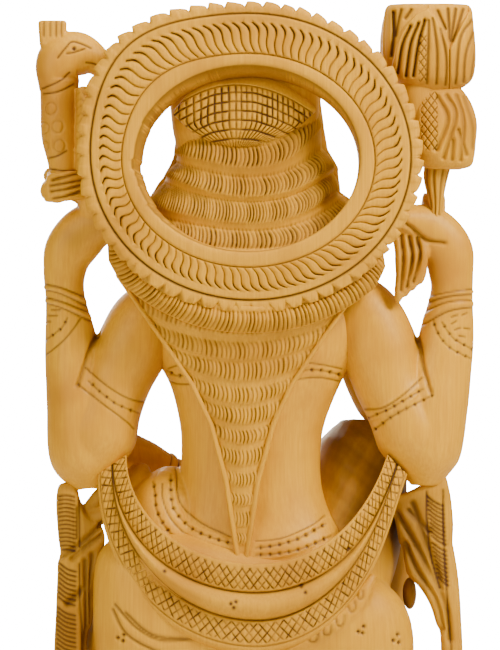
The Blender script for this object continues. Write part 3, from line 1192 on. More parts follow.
sashSize = {
    "voxel": 1.0, "smoothing": 2,
    # Level ovals: x, y, z, half width, half depth.
    "left": [
        [133, 4, 267, 3, 4], [133, 4, 264.6, 6.6, 7], [132.7, 4, 255.5, 8.4, 8.5],
        [130.2, 3, 245, 10.8, 8.5], [125, 2, 236.6, 15.4, 8.5], [123.2, 2, 227.5, 16.5, 8.5],
        [123.4, 2, 217.5, 15, 8], [124.6, 2, 210, 15.6, 8.5], [126.4, 2, 203, 14, 8.5],
        [127.8, 2, 185.5, 13.3, 8.5], [128.8, 2, 168, 13, 9], [131, 2, 154.7, 11.5, 9],
        [132, 3, 98, 12, 10],
    ],
    "right": [
        [-127.5, 2, 272, 6, 7], [-127.4, 2, 268, 7.4, 8], [-122.9, 2, 261.8, 13.3, 9],
        [-116.2, 0, 255.5, 21.2, 10], [-116.9, -1, 248.5, 21.3, 10], [-118.7, -1, 237.3, 20.3, 10],
        [-119.5, -1, 225, 19, 9.5], [-120.8, -1, 222, 18.2, 9], [-122.9, 0, 210, 18.2, 9],
        [-124.6, 0, 201.6, 17.7, 9], [-129.2, 1, 192.5, 14, 9], [-133, 2, 181.3, 11, 9],
        [-135.5, 2, 168, 9.1, 9], [-137.6, 2, 154.7, 7.7, 9], [-138, 2, 98, 9, 10],
    ],
    "peg": [[102, 8, 266, 4.4, 4.4], [104, 8, 264, 4.8, 4.8], [111, 5, 257, 5.2, 4.6], [119, 1, 247, 5, 4]],
    "web": [[118, 2, 242, 5, 6], [110, 3, 243.5, 6, 6], [101, 5, 244.5, 6, 7], [95, 6, 245, 3, 5]],
    "knob": {"centre": (-108.5, -16, 188), "half": (5, 9, 11.5)},
    "strokes": [
        [(139.5, 128, 259), (139.5, 128, 218), 2.9, 0.6, -0.8],
        [(139, 127, 212), (140, 128, 185), 3.1, 6, 1.2],
        [(140.5, 127.5, 181), (141.5, 127, 108), 3.1, 6, 1.2],
        [(-120.3, -131, 258.5), (-123.5, -133.5, 228), 2.8, 6.5, 0.8],
        [(-123.5, -133.5, 226), (-129, -135, 199), 2.8, 6, 0.8],
    ],
    "lines": [
        [[124.3, 256], [124.4, 236], [124.4, 222]], [[124.6, 210], [124, 180], [122.5, 158], [123, 106]],
        [[126, 250], [126.2, 228]], [[-119.8, 261], [-120, 241], [-123.2, 214], [-129, 193]],
        [[-131.5, 262], [-132, 226], [-134, 190], [-137, 150], [-138, 106]],
    ],
    # Deep, dark folds.
    "folds": [
        [[139, 215.6], [131, 218.5], [123.5, 224], [107.5, 238]],
        [[133.5, 181.5], [127, 187], [120.5, 193.5]], [[129.5, 214], [119, 223], [106.5, 231]],
        [[120.5, 212], [119.5, 190], [118.5, 158], [118, 104]], [[115.5, 216], [116, 190], [114, 160]],
        [[-107.5, 247], [-114, 240], [-121, 232.5]],
        [[-98.5, 245], [-112, 223], [-125, 199], [-133.5, 178.5], [-136, 157]],
        [[-104, 224], [-112.5, 206], [-126, 185], [-131, 164]],
        [[-110, 252], [-117, 232], [-124, 212], [-130, 192]],
    ],
}


# Sash ends that hang from the elbows: upright strips cut into slanting strokes beside an
# upright line, and deep pleats further in, gathered towards the foot of the right one.
def sashes():
    s = sashSize
    strokes = [stroke for strip in s["strokes"] for stroke in slantStrokes(*strip)]
    solids = [skin(stack(s[k], sides=90, rows=200, square=3.4)) for k in ("left", "right")]
    solids += limbs(s, peg=(24, 24), web=(24, 24)) + [skin(egg(s["knob"]["centre"], s["knob"]["half"]))]
    body = knifeWork(grown(solids, s), lines=s["folds"], width=2.3, depth=3.0, shade=0.35)
    body = knifeWork(body, lines=strokes, width=0.95, depth=1.1, shade=0.75)
    body = knifeWork(body, lines=s["lines"], width=0.8, depth=1.0, shade=0.7)
    points, faces, normals, cut = knifeWork(body, -1, strokes, width=0.95, depth=1.1, shade=0.75)
    # Oil gathered in the pleats: the wood is darker between them, on both sides.
    x = points[:, 0]
    onLeft = 0.25 * eased(124.5, 121, x) * (x > 0)
    onRight = 0.3 * eased(-124, -118, x) * eased(268, 250, points[:, 2]) * (x < 0)
    grownPiece("sashes", (points, faces, normals, 0.2 + cut + onLeft + onRight), knifeCutWood)


sashes()
print("shawl and sashes made")

lotusSize = {
    "y": 27, "columns": 440, "rows": 200, "square": 3.0,
    # Levels: height, middle X, half width, half depth. The cuts fade between two shares of the
    # way from the first level to the last.
    "blocks": {
        "upper": {
            "petals": 5, "phase": 0.32, "petalsFrom": 545, "petalsTo": 600, "fade": (0.84, 0.9),
            "ribWidth": 1.15, "ribDepth": 1.7, "ribShade": 0.75,
            "levels": [
                [541, -124, 12, 12], [545, -124, 21, 18], [551, -122.5, 28.5, 24], [562, -121, 32, 27],
                [576, -120.5, 32.5, 28.5], [592, -120.5, 31.5, 27.5], [600, -120.5, 30, 26.5],
                [602.5, -120.5, 25, 22], [599, -120.5, 12, 10],
            ],
            "ribs": [
                [[-120, 590], [-119.5, 570], [-119, 547]], [[-122.8, 591.5], [-125.7, 570], [-125.7, 547]],
                [[-128.5, 584], [-132.3, 564], [-132, 546]], [[-150.8, 591.5], [-141.8, 577], [-139, 547]],
                [[-152.3, 584.5], [-146, 567], [-144.5, 548]], [[-153, 570], [-150, 549.5]],
                [[-126.4, 597], [-132, 584.5]], [[-133.5, 598.5], [-134.8, 577.5]],
                [[-139, 598.5], [-135.5, 576]], [[-144.5, 598.5], [-137, 576]],
                [[-101, 598], [-99, 590], [-97.5, 580]], [[-108, 598], [-104, 592]],
            ],
        },
        "lower": {
            "petals": 6, "phase": 0.0, "petalsFrom": 546, "petalsTo": 489, "fade": (0.98, 1.0),
            "ribWidth": 1.7, "ribDepth": 2.4, "ribShade": 0.5,
            "levels": [
                [487, -133, 10, 10], [489.5, -133, 17.5, 15], [497, -131.5, 21.5, 19.5],
                [509, -131, 23, 21.5], [521, -130.5, 23.5, 22], [534, -129, 21, 19], [544, -126, 17, 14],
                [549, -125, 10, 8],
            ],
            "ribs": [
                [[-126.3, 537.6], [-133.4, 521.5], [-125.7, 500.5]],
                [[-132.7, 538.3], [-139, 524.3], [-130.6, 495]],
                [[-139.7, 538.3], [-144.6, 520], [-142.5, 493.5]],
                [[-145.3, 537.6], [-150.9, 518], [-151.5, 502]], [[-137, 507], [-136.5, 494]],
                [[-141, 514], [-146.5, 497]],
            ],
        },
    },
    "stem": [
        [-127.5, 27, 494, 10, 9], [-125.5, 26, 480, 8.5, 8], [-126, 24, 462, 5, 6], [-125, 20, 443, 6, 7],
    ],
    "web": [
        [-108, 37, 558, 7, 6], [-112, 36, 548, 11, 8], [-115, 35, 530, 11, 9], [-115, 34, 510, 9, 9],
        [-117, 33, 495, 6, 6],
    ],
    "slitWidth": 1.25, "slitDepth": 3.2, "raise": 4.2, "hatchPitch": 6.6,
    # On the back: edges of the middle petal and of the one to its right, by height.
    "middleLeft": [
        [545, -93], [555, -94], [571, -97], [582, -101.5], [589, -106], [595, -112], [599, -120.5],
    ],
    "middleRight": [[545, -134.5], [572, -134.5], [586, -128.5], [597, -121], [599, -120.5]],
    "rightLeft": [[545, -134.9], [571, -135], [577, -138], [587, -143], [597, -148.5]],
    "slits": [
        [[-107.5, 586.5], [-102, 574], [-98.8, 554]], [[-113, 588.5], [-107.5, 574], [-104.5, 552]],
        [[-117.3, 590.5], [-112.8, 574], [-109.6, 552]], [[-95.9, 596.5], [-95.9, 580], [-94.5, 566]],
    ],
    "hatched": [(-113, -118.5, 548, 580), (-114.5, -126.5, 500, 541)],
}


# Relief of a ring of pointed petals. turn goes round the flower, 0 to 1 for each petal, and
# t from the petals' foot to their tip. Knife lines run up each petal, and fine lines show
# between the petals.
def petalRelief(turn, t, wide):
    s = 2 * (within(turn) - 0.5)
    half = 0.98 * np.clip(1 - np.clip(t, 0, 1) ** 2.4, 0.0, 1) ** 0.8
    half = half * (0.75 + 0.25 * eased(0, 0.35, t)) + 0.02
    q = s / half
    inside = 1 - eased(0.9, 1.08, np.abs(q))
    edge = ridge((np.abs(q) - 1) * half * wide, 0.8)
    veins = sum(ridge((q - at) * half * wide, 0.75) for at in (-0.75, -0.45, -0.15, 0.15, 0.45, 0.75))
    veins = veins * eased(0.04, 0.14, t) * (1 - eased(0.8, 0.97, t)) * inside
    between = 0.6 * ridge(within(s * wide / 2.4) - 0.5, 0.2) * (1 - inside)
    cut = veins + between + edge
    return 3.4 * inside * (1 - 0.35 * q**2) - 1.2 * cut, cut


# The lotus in her upper right hand: two blocks of petals, a wide one opening upwards and a
# narrow one pointing down, on a stem that joins the hand and the halo. The back is cut
# line by line; the front has regular petals.
def lotusFlower():
    s = lotusSize
    solids = []
    for name, block in s["blocks"].items():
        rows = np.linspace(0, 1, s["rows"])[:, None]
        z, x, halfWidth, halfDepth = through(block["levels"], rows[:, 0]).T[..., None]
        angle = evenAngles(s["columns"], s["square"])[None]
        foot, tip = block["petalsFrom"], block["petalsTo"]
        t = (z - foot) / (tip - foot)
        onSide = eased(0.0, 0.07, rows) * (1 - eased(*block["fade"], rows))
        petals = block["petals"]
        wide = np.pi * float(halfWidth.max()) / petals
        height, cut = petalRelief(angle * petals / (2 * np.pi) + block["phase"], t, wide)
        front = eased(0.1, -0.1, np.sin(angle)) * onSide
        height, cut = (height - 1.5) * front, cut * front
        px = x + (halfWidth + height) * rounded(np.cos(angle), s["square"])
        py = s["y"] + (halfDepth + height) * rounded(np.sin(angle), s["square"])
        pz = z + 0 * angle
        flat = np.stack([px, pz], -1).reshape(-1, 2)
        faced = eased(0.12, 0.4, np.sin(angle)) * onSide

        def cutBy(lines, width):
            deepest = np.max([ridge(farFrom(flat, line), width) for line in lines], axis=0)
            return deepest.reshape(px.shape) * faced

        slits, ribs = cutBy(s["slits"], s["slitWidth"]), cutBy(block["ribs"], block["ribWidth"])
        hatch = np.zeros(px.shape)
        for right, left, low, high in s["hatched"]:
            area = eased(right + 0.3, right - 0.5, px) * eased(left - 0.3, left + 0.5, px)
            area = area * eased(low - 1, low + 1, pz) * eased(high + 1, high - 1, pz)
            ways = (ridge(within((pz + slope * px) / s["hatchPitch"]) - 0.5, 0.1) for slope in (1.3, -1.3))
            hatch = np.maximum(hatch, area * np.maximum(*ways) * faced)
        # Petals of the upper block stand out from the ground between them.
        raised = 0
        if name == "upper":
            edges = (np.interp(pz, *np.array(s[k]).T) for k in ("middleLeft", "middleRight", "rightLeft"))
            middleLeft, middleRight, rightLeft = edges
            middle = eased(0.7, -0.7, px - middleLeft) * eased(-0.7, 0.7, px - middleRight)
            raised = s["raise"] * np.maximum(middle, eased(0.7, -0.7, px - rightLeft)) - s["raise"]
        py = py + (raised - s["slitDepth"] * slits - block["ribDepth"] * ribs - 0.9 * hatch) * faced
        cut = cut * 0.8 + slits + block["ribShade"] * ribs + 0.85 * hatch + 0.12 * (raised < -2) * faced
        solids.append(skin(np.stack([px, py, pz], -1), cut=cut))

    def fluted(far, angle):
        return -0.9 * ridge(within(9 * angle / (2 * np.pi)) - 0.5, 0.2) + 0 * far

    solids.append(carvedLimb(s["stem"], 90, 60, fluted, 0.8))
    solids.append(skin(limb(s["web"], sides=48, rows=40, square=2.6)))
    piece("lotusFlower", together(solids), knifeCutWood)


lotusFlower()

birdSize = {
    "voxel": 0.95, "smoothing": 4,
    "neck": [
        [136, 28, 470, 8, 8], [135.2, 28, 486, 10.2, 10.5], [136, 28, 495, 11, 11.5],
        [138.3, 28, 511, 12.6, 13], [139, 28, 530, 12.5, 13], [138, 28, 550, 14, 13],
    ],
    "head": [
        [150, 28, 541, 3, 5], [145, 28, 548, 11, 11], [137, 28, 562, 18, 14], [126, 28, 567.5, 16.5, 13],
        [114, 29, 563.5, 12, 10], [108, 31, 557, 7, 7], [104, 33, 553, 4, 4],
    ],
    "strip": [
        [122, 36, 544, 4, 8], [119.5, 38, 530, 6.5, 11], [119, 38, 515, 7.5, 12], [119, 38, 486, 7.5, 10],
    ],
    "crest": {
        "x": 143, "y": 28, "z": (574, 591.5), "half": (10, 6.5), "grooves": (148.9, 144.4, 140.3, 136.6),
    },
    "lines": [
        [[138.9, 564.9], [134, 571.2], [129.2, 576.1], [122, 574.5], [115.9, 571.6]],
        [[132.7, 567.7], [128.5, 568.4], [124, 569.8], [120, 571.2]],
        [[150.2, 543.5], [140.4, 547.1], [135, 550.5], [130.6, 554.4]],
        [[149.1, 539.7], [140.4, 540.7], [134, 543], [127.8, 546.4]],
        [[145.3, 494.9], [139, 496.3], [132.7, 499.8]], [[144.6, 487.2], [133.4, 485.6], [122.9, 485.8]],
        [[119, 561.5], [113, 560.4], [107.5, 557.5]],
    ],
    "dots": [[127.5, 571.2]],
    "roundels": [[143.9, 529.4], [149.5, 515.9], [139, 516.6], [137.8, 503.3], [150, 503.3]],
    "roundel": 4.2,
    "scale": (119, 7.4, 5.2),  # middle X, width and height
}


# The crested bird on the standard in her upper left hand: head with a hooked beak, a neck
# with roundels, a scaly strip that joins it to the halo, and an upright fluted crest.
def birdAttribute():
    s = birdSize
    c = s["crest"]
    (low, high), (wide, deep) = c["z"], c["half"]
    crest = [[low, wide - 1, deep], [high - 2, wide, deep], [high, wide - 1.5, deep - 1.5]]
    solids = limbs(s, neck=(40, 60), head=(40, 60), strip=(40, 60))
    solids.append(skin(stack([[c["x"], c["y"], *row] for row in crest], sides=60, rows=30, square=5)))
    points, faces, normals, _ = grown(solids, s)
    x, z = points[:, 0], points[:, 2]
    nearest = np.min([np.linalg.norm(points[:, [0, 2]] - np.array(p), axis=1) for p in s["roundels"]], axis=0)
    ring = ridge(nearest - s["roundel"], 0.75)
    scaleX, scaleWidth, scaleHeight = s["scale"]
    scale = within((z + 3.2 * np.abs(within((x - scaleX) / scaleWidth) - 0.5) * 2) / scaleHeight)
    scales = np.exp(-scale / 0.2) * (x < 126.5) * (z < 541) * (z > 486)
    flutes = sum(ridge(x - at, 0.8) for at in c["grooves"]) * eased(578, 581, z)
    faced = eased(0.1, 0.4, np.abs(normals[:, 1]))
    cut = np.clip(ring + scales + flutes, 0, 1) * faced
    points = points - normals * (0.85 * cut)[:, None]
    solid = (points, faces, normals, np.clip(0.25 * ring + 0.55 * scales + 0.8 * flutes, 0, 1) * faced)
    for side in (1, -1):
        solid = knifeWork(solid, side, s["lines"], dots=s["dots"], width=0.75, depth=0.8)
    grownPiece("birdStandard", solid, waxedWood)


birdAttribute()
print("lotus and bird made")

faceSize = {
    "centre": (5, -16, 490), "half": (38.5, 41.5, 48), "columns": 420, "rows": 230,
    "brow": 498, "eye": 488.5, "eyeApart": 15.5, "noseFoot": 473.5, "mouth": 464.5, "chin": 451,
}


# Head and face, on plain thirds from hairline to brow, nose and chin. The face is the front
# of an egg; every feature is a smooth hill or hollow added straight forwards.
def head():
    s = faceSize
    cx, cy, cz = s["centre"]
    wide, deep, high = s["half"]
    lift = np.linspace(-np.pi / 2, np.pi / 2, s["rows"] + 2)[1:-1, None]
    turn = np.linspace(-1, 1, s["columns"], endpoint=False)[None]
    angle = -np.pi / 2 + np.pi * np.sign(turn) * np.abs(turn) ** 1.6
    narrow = 1 - 0.16 * eased(480, 446, cz + high * np.sin(lift))
    x = cx + wide * narrow * np.cos(lift) ** 0.9 * np.cos(angle)
    y = cy + deep * np.cos(lift) ** 0.85 * np.sin(angle)
    z = cz + high * np.sin(lift) + 0 * angle
    u = x - cx
    a = np.abs(u)

    def hill(across, up, width, height):
        return np.exp(-(((a - across) / width) ** 2) - ((z - up) / height) ** 2)

    brow, mouth, noseFoot, eyeX = s["brow"], s["mouth"], s["noseFoot"], s["eyeApart"]
    fromEye = a - eyeX
    eyeZ = s["eye"] + 0.05 * fromEye
    nose = np.clip((brow - 3 - z) / (brow - 3 - noseFoot), 0, 1)
    bridge = (3 + 7.5 * nose**1.3) * np.exp(-((u / (2.4 + 2.2 * nose)) ** 2)) * (z > noseFoot - 6)
    bridge = bridge * eased(noseFoot - 5, noseFoot, z) * eased(brow + 6, brow - 8, z)
    wings = 3.2 * hill(5.2, noseFoot + 1.2, 2.6, 3.0)
    socket = -3.6 * hill(eyeX, s["eye"] + 2, 11, 7.5)
    ball = 3.4 * np.exp(-np.abs(fromEye / 9.2) ** 2.6 - np.abs((z - eyeZ) / 4.3) ** 2.4)
    # Lids: an almond line above and below each eye, and the fold over it.
    arch = 3.7 * np.clip(1 - (fromEye / 9.6) ** 2, 0, 1)
    lids = [ridge(z - (eyeZ + 0.9 * arch), 0.55), ridge(z - (eyeZ - 0.62 * arch), 0.5)]
    upperLid, lowerLid = (lid * (np.abs(fromEye) < 9.8) for lid in lids)
    lidFold = 0.6 * ridge(z - (eyeZ + 1.35 * arch + 1.3), 0.55) * (np.abs(fromEye) < 10.5)
    pupil = 0.7 * ridge(np.hypot(fromEye, z - eyeZ) - 2.1, 0.5)
    browLine = brow + 3.6 * np.sin(np.clip((a - 4) / 24, 0, 1) * np.pi) ** 0.8
    browRidge = 1.1 * ridge(z - browLine, 1.1) * (a > 4) * (a < 28)
    bow = 0.9 * np.exp(-((u / 2.2) ** 2))
    lips = 3.6 * np.exp(-((u / 9.5) ** 4) - ((z - mouth - 2.2 + bow) / 2.3) ** 2)
    lips = lips + 4.0 * np.exp(-((u / 7.8) ** 4) - ((z - mouth + 2.7) / 2.5) ** 2)
    mouthLine = ridge(z - (mouth + 0.012 * u**2 - 0.3), 0.6) * (a < 11.5)
    dimples = 0.8 * hill(12, mouth + 1.2, 1.5, 1.6)
    under = -1.4 * hill(0, mouth - 7, 8, 2.2)
    chin = 4.2 * hill(0, s["chin"] + 1.5, 10, 6.5)
    cheeks = 2.6 * hill(19, 474, 10, 10)
    forehead = 1.2 * hill(0, 508, 18, 9)
    lipGroove = -0.9 * hill(0, 469.4, 1.3, 2.4)
    mark = 1.6 * ridge(np.hypot(u, z - 503), 2.3)
    cut = 0.85 * (upperLid + lowerLid) + 0.5 * lidFold + 0.6 * pupil + mouthLine + 0.6 * dimples
    out = bridge + wings + socket + ball + browRidge + lips + under + chin
    out = out + cheeks + forehead + lipGroove + mark
    out = out - 0.75 * (upperLid + lowerLid) - 0.4 * lidFold - 0.35 * pupil - 1.0 * mouthLine - 0.6 * dimples
    facing = eased(0.15, 0.55, -np.sin(angle) * np.cos(lift) ** 0.3)
    piece("head", skin(np.stack([x, y - out * facing, z], -1), cut=0.8 * cut * facing), waxedWood)


head()

earSize = {
    "x": 5, "apart": 39, "y": -14, "columns": 40,
    "ear": [
        [0, 2, 498, 3, 6], [1.5, 0, 494, 4.5, 8.5], [2.5, -1, 484, 4.5, 8.5], [2, -2, 474, 4, 6],
        [2, -3, 466, 4, 5],
    ],
    "ring": {"centre": (43.5, -17, 463), "half": (7, 8, 9.5)},
}


# Ears with long lobes, each with a round ear ornament cut into a flower.
def ears():
    s = earSize

    def shell(far, angle):
        return -1.3 * ridge(far - 16, 9) * ridge(within(2 * angle / (2 * np.pi)) - 0.5, 0.2)

    solids = []
    for side in (-1, 1):
        rows = [[s["x"] + side * (s["apart"] + x), s["y"] + y, z, a, b] for x, y, z, a, b in s["ear"]]
        solids.append(carvedLimb(rows, s["columns"], 50, shell, 0.4, up=(1, 0, 0)))
        (x, y, z), half = s["ring"]["centre"], s["ring"]["half"]
        middle = np.array([s["x"] + side * (x - 1), y, z])
        off = egg(middle, half, sides=80, rows=48) - middle
        up, back = off[..., 2] / half[2], off[..., 1] / half[1]
        petal, far = within(10 * np.arctan2(up, back) / (2 * np.pi)), np.hypot(up, back)
        carved = ridge(petal - 0.5, 0.16) * eased(0.45, 0.6, far) + ridge(far - 0.45, 0.07)
        solids.append(skin(middle + off * (1 - 0.12 * carved)[..., None], cut=0.8 * carved))
    piece("ears", together(solids), waxedWood)


ears()

crownSize = {
    "x": 6, "y": -10, "depth": 0.86, "columns": 360, "rows": 210,
    # Height and radius from the brow up to the top in front of the halo.
    "profile": [
        [508, 30], [512, 42], [515, 46.5], [518.5, 47.5], [520, 46], [521.5, 50], [525, 52], [529, 51.5],
        [531, 49.5], [532, 47.5], [536, 46.5], [543, 45.2], [549, 44.6], [551, 46.5], [554, 47.6],
        [557, 46.5], [558.5, 43], [562, 41], [570, 37], [578, 33.5], [580, 35], [583, 35.8], [586, 34.5],
        [588, 30], [592, 22], [595.5, 12], [597, 5],
    ],
    # Bead rings: how far they stand out, from and to which height, and how many beads.
    "beads": (
        (2.0, 521.5, 530.5, 34), (1.8, 550.5, 557.5, 32), (1.6, 579.5, 586.5, 24), (1.2, 514, 519.5, 44),
    ),
    # Leaf tiers: from and to which height, and how many leaves.
    "leaves": ((531.5, 549.5, 16), (559, 578.5, 14), (587.5, 596, 10)),
    "jewel": {"half": 13, "z": 541, "halfHeight": 19, "stoneZ": 537, "stoneHalf": 7, "height": 4.5},
}


# The tall crown: turned rings of beads with a tier of pointed leaves between them, and a
# jewelled front. All of it repeats evenly round the crown.
def crown():
    s = crownSize
    profile = through(s["profile"], np.linspace(0, 1, s["rows"]))
    z, radius = profile[:, :1], profile[:, 1:]
    angle = fullTurn(s["columns"])[None]

    def beads(low, high, count):
        up = (z - (low + high) / 2) / ((high - low) / 2)
        side = 2 * within(angle * count / (2 * np.pi)) - 1
        return (np.abs(up) < 1) * (np.sqrt(np.clip(1 - up**2 - 0.9 * side**2, 0, 1)) - 0.9)

    def leaves(low, high, count):
        t = (z - low) / (high - low)
        q = np.abs(2 * within(angle * count / (2 * np.pi)) - 1)
        half = np.clip(1 - np.clip(t, 0, 1) ** 1.5, 0, 1) ** 0.7
        inside = (t > 0) & (t < 1)
        line = ridge((q - half) * 4, 0.5) + ridge((q - 0.55 * half) * 4, 0.35)
        line = line + 0.8 * ridge(q * 4, 0.35) * (t < 0.75)
        return inside * (1.2 * (1 - eased(0.9, 1.1, q / np.maximum(half, 0.05)))), inside * line

    out = sum(height * beads(*ring) for height, *ring in s["beads"])
    cut = np.clip(-out, 0, 1.5) * 0.45
    for tier in s["leaves"]:
        lift, line = leaves(*tier)
        out = out + lift - 0.8 * line
        cut = cut + 0.7 * line
    # A taller leaf-shaped jewel stands at the front.
    j = s["jewel"]
    u, w = (radius * np.cos(angle)) / j["half"], (z - j["z"]) / j["halfHeight"]
    stone = np.hypot(u, (z - j["stoneZ"]) / j["stoneHalf"])
    frontSide = angle > np.pi
    shield = frontSide * np.clip(1 - np.hypot(u, w) ** 2.5, 0, 1) ** 0.5
    rim = ridge((np.hypot(u, w) - 0.72) * j["half"], 1.0) + ridge((stone - 0.42) * j["half"], 0.9)
    rim = frontSide * rim * (shield > 0.05)
    out = np.where(shield > 0.02, j["height"] * shield - 0.9 * rim, out)
    cut = np.where(shield > 0.02, 0.8 * rim, cut)
    x, y = s["x"] + (radius + out) * np.cos(angle), s["y"] + s["depth"] * (radius + out) * np.sin(angle)
    piece("crown", skin(np.stack([x, y, z + 0 * angle], -1), cut=cut), waxedWood)


crown()

knotSize = {
    "square": 3.2, "pitch": 4.2,
    "levels": [
        [7, 11, 498, 49, 20], [7.5, 12, 508, 50, 23], [8, 14, 520, 51.5, 24], [8.5, 16, 545, 52.5, 22],
        [8, 20, 560, 47, 19], [8, 24, 574, 37, 15], [8, 27, 584, 22, 10],
    ],
}


# The block of hair behind the crown, which carries the net: plain, with shallow tooling.
def hairBlock():
    s = knotSize
    rings = stack(s["levels"], sides=220, rows=120, square=s["square"])
    middle = rings.mean(1, keepdims=True)
    tool = ridge(within(rings[..., 0] / s["pitch"] + 0.2 * wander(rings[..., 2] / 11, 5)) - 0.5, 0.2)
    tool = tool * eased(0, 12, middle[..., 1] - rings[..., 1] + 6) * (rings[..., 2] < 560)
    rings = middle + (rings - middle) * (1 - 0.018 * tool)[..., None]
    piece("hairBlock", skin(rings, cut=0.4 * tool), waxedWood)


hairBlock()
print("head and crown made")

frontArms = {
    "voxel": 1.15, "smoothing": 4,
    "leftArm": [
        [66, -6, 382, 15, 15], [80, -11, 368, 17, 17], [93, -18, 348, 17.5, 17], [103, -28, 318, 16.5, 16],
        [103, -33, 302, 16, 15], [95, -38, 290, 14.5, 14.5], [78, -46, 281, 14, 13.5],
        [60, -55, 271, 11.5, 11], [49, -60, 264, 9.5, 9],
    ],
    "leftPalm": [
        [54, -57, 268, 8.5, 8], [47, -61, 257, 12, 7.5], [43, -63, 244, 13.5, 6.5], [42, -63, 238, 12, 5],
    ],
    "leftFingers": {
        "count": 4, "from": (52, -63, 243), "to": (47, -64, 210), "step": (-6.1, 0, -0.6),
        "tipStep": (-5.0, 0, -0.5), "radius": 3.5, "bow": (0, -3, 0), "up": (1, 0, 0),
    },
    "leftThumb": [
        [38, -62, 254, 4.6, 4.6], [30, -64, 244, 4.2, 4.2], [28, -65, 235, 3.8, 3.8], [28, -65, 229, 2, 2],
    ],
    "rightArm": [
        [-62, -6, 382, 15, 15], [-76, -11, 368, 17, 17], [-88, -18, 352, 17.5, 17],
        [-97, -27, 330, 17, 16.5], [-95, -34, 319, 15.5, 15.5], [-86, -44, 322, 14.5, 14.5],
        [-76, -52, 337, 12.5, 12], [-68, -58, 350, 9.5, 9],
    ],
    "rightPalm": [
        [-70, -57, 346, 8.5, 8], [-66, -60, 356, 12, 7.5], [-64, -61, 370, 13.5, 6.5],
        [-64, -61, 377, 12, 5],
    ],
    "rightFingers": {
        "count": 4, "from": (-73.5, -61, 374), "to": (-69, -61, 405), "step": (6.1, 0, 0.4),
        "tipStep": (5.0, 0, 0), "radius": 3.5, "bow": (0, -1.5, 0), "up": (1, 0, 0),
    },
    "rightThumb": [
        [-56, -60, 358, 4.6, 4.6], [-50, -63, 366, 4.2, 4.2], [-48, -65, 375, 3.8, 3.8],
        [-48.5, -65, 381, 2, 2],
    ],
    # Bangles: place along the arm and half width, mm.
    "bangles": (148, 155, 162), "bangleHalf": 2.6, "armlet": 42, "armletHalf": 5,
}


# The two front arms: her left hand low with its palm forward, giving; her right hand raised,
# palm forward, in reassurance. Bangles and an armlet stand out round each.
def frontArmPair():
    s = frontArms
    solids = []
    for side in ("left", "right"):
        hand = limbs(s, **{side + "Arm": (40, 80), side + "Palm": (32, 30), side + "Thumb": (18, 24)})
        solids += hand[:2] + fingers(s[side + "Fingers"]) + hand[2:]
    points, faces, normals, _ = grown(solids, s)
    lift, cut = np.zeros(len(points)), np.zeros(len(points))
    bangle, armlet = s["bangleHalf"], s["armletHalf"]
    for side, sign, shorter in (("left", 1, 0), ("right", -1, 12)):
        far, gap = alongLimb(points, s[side + "Arm"], 90)
        near = (gap < 22) & (sign * points[:, 0] > 0) & (far < far[gap < 22].max() - 3)
        for at in s["bangles"]:
            off = np.abs(far - at + shorter)
            lift = lift + 1.3 * (1 - eased(bangle - 0.9, bangle + 0.3, off)) * near
            cut = cut + ridge(off - bangle - 0.6, 0.7) * near
        off = np.abs(far - s["armlet"])
        lift = lift + 1.6 * (1 - eased(armlet - 0.8, armlet + 0.6, off)) * near
        cut = cut + (ridge(off - armlet - 0.4, 0.8) + 0.6 * ridge(off, 0.8)) * near
    points = points + normals * (lift - 0.7 * cut)[:, None]
    grownPiece("frontArms", (points, faces, normals, 0.8 * np.clip(cut, 0, 1)), waxedWood)


frontArmPair()

jewelSize = {
    "short": [
        [24, -21, 410, 3, 3], [17, -26, 401, 3, 3], [3, -31, 395, 3, 3], [-12, -26, 401, 3, 3],
        [-19, -21, 410, 3, 3],
    ],
    "long": [
        [46, -20, 398, 4, 3.2], [38, -32, 376, 4, 3.2], [20, -41, 356, 4, 3.2], [3, -40, 345, 4.4, 3.4],
        [-14, -41, 356, 4, 3.2], [-33, -32, 376, 4, 3.2], [-41, -20, 398, 4, 3.2],
    ],
    "pendant": [[3, -43, 350, 4, 4], [3, -44, 342, 8, 4.5], [3, -42, 333, 6, 4], [3, -40, 325, 1, 2]],
    "girdle": [
        [60, -24, 236, 5, 4], [36, -40, 226, 5, 4.5], [2, -46, 222, 6, 5], [-34, -40, 226, 5, 4.5],
        [-56, -24, 236, 5, 4],
    ],
    "clasp": [[2, -49, 231, 5, 4], [2, -51, 223, 9, 5], [2, -50, 213, 6, 4], [2, -49, 205, 1, 2]],
    "bead": 4.6,
}


# Necklaces, girdle and their drops: cords cut into round beads, and leafy drops.
def jewellery():
    s = jewelSize

    def beaded(far, angle):
        onBead = 2 * within(far / s["bead"]) - 1
        return 1.1 * np.sqrt(np.clip(1 - onBead**2, 0, 1)) - 1.1 + 0 * angle

    def leafy(far, angle):
        return -0.7 * ridge(within(6 * angle / np.pi) - 0.5, 0.15) * eased(3, 6, far)

    solids = [carvedLimb(s[name], 24, 300, beaded, 0.7) for name in ("short", "long", "girdle")]
    solids += [carvedLimb(s[name], 72, 40, leafy, 0.9) for name in ("pendant", "clasp")]
    piece("jewellery", together(solids), waxedWood)


jewellery()

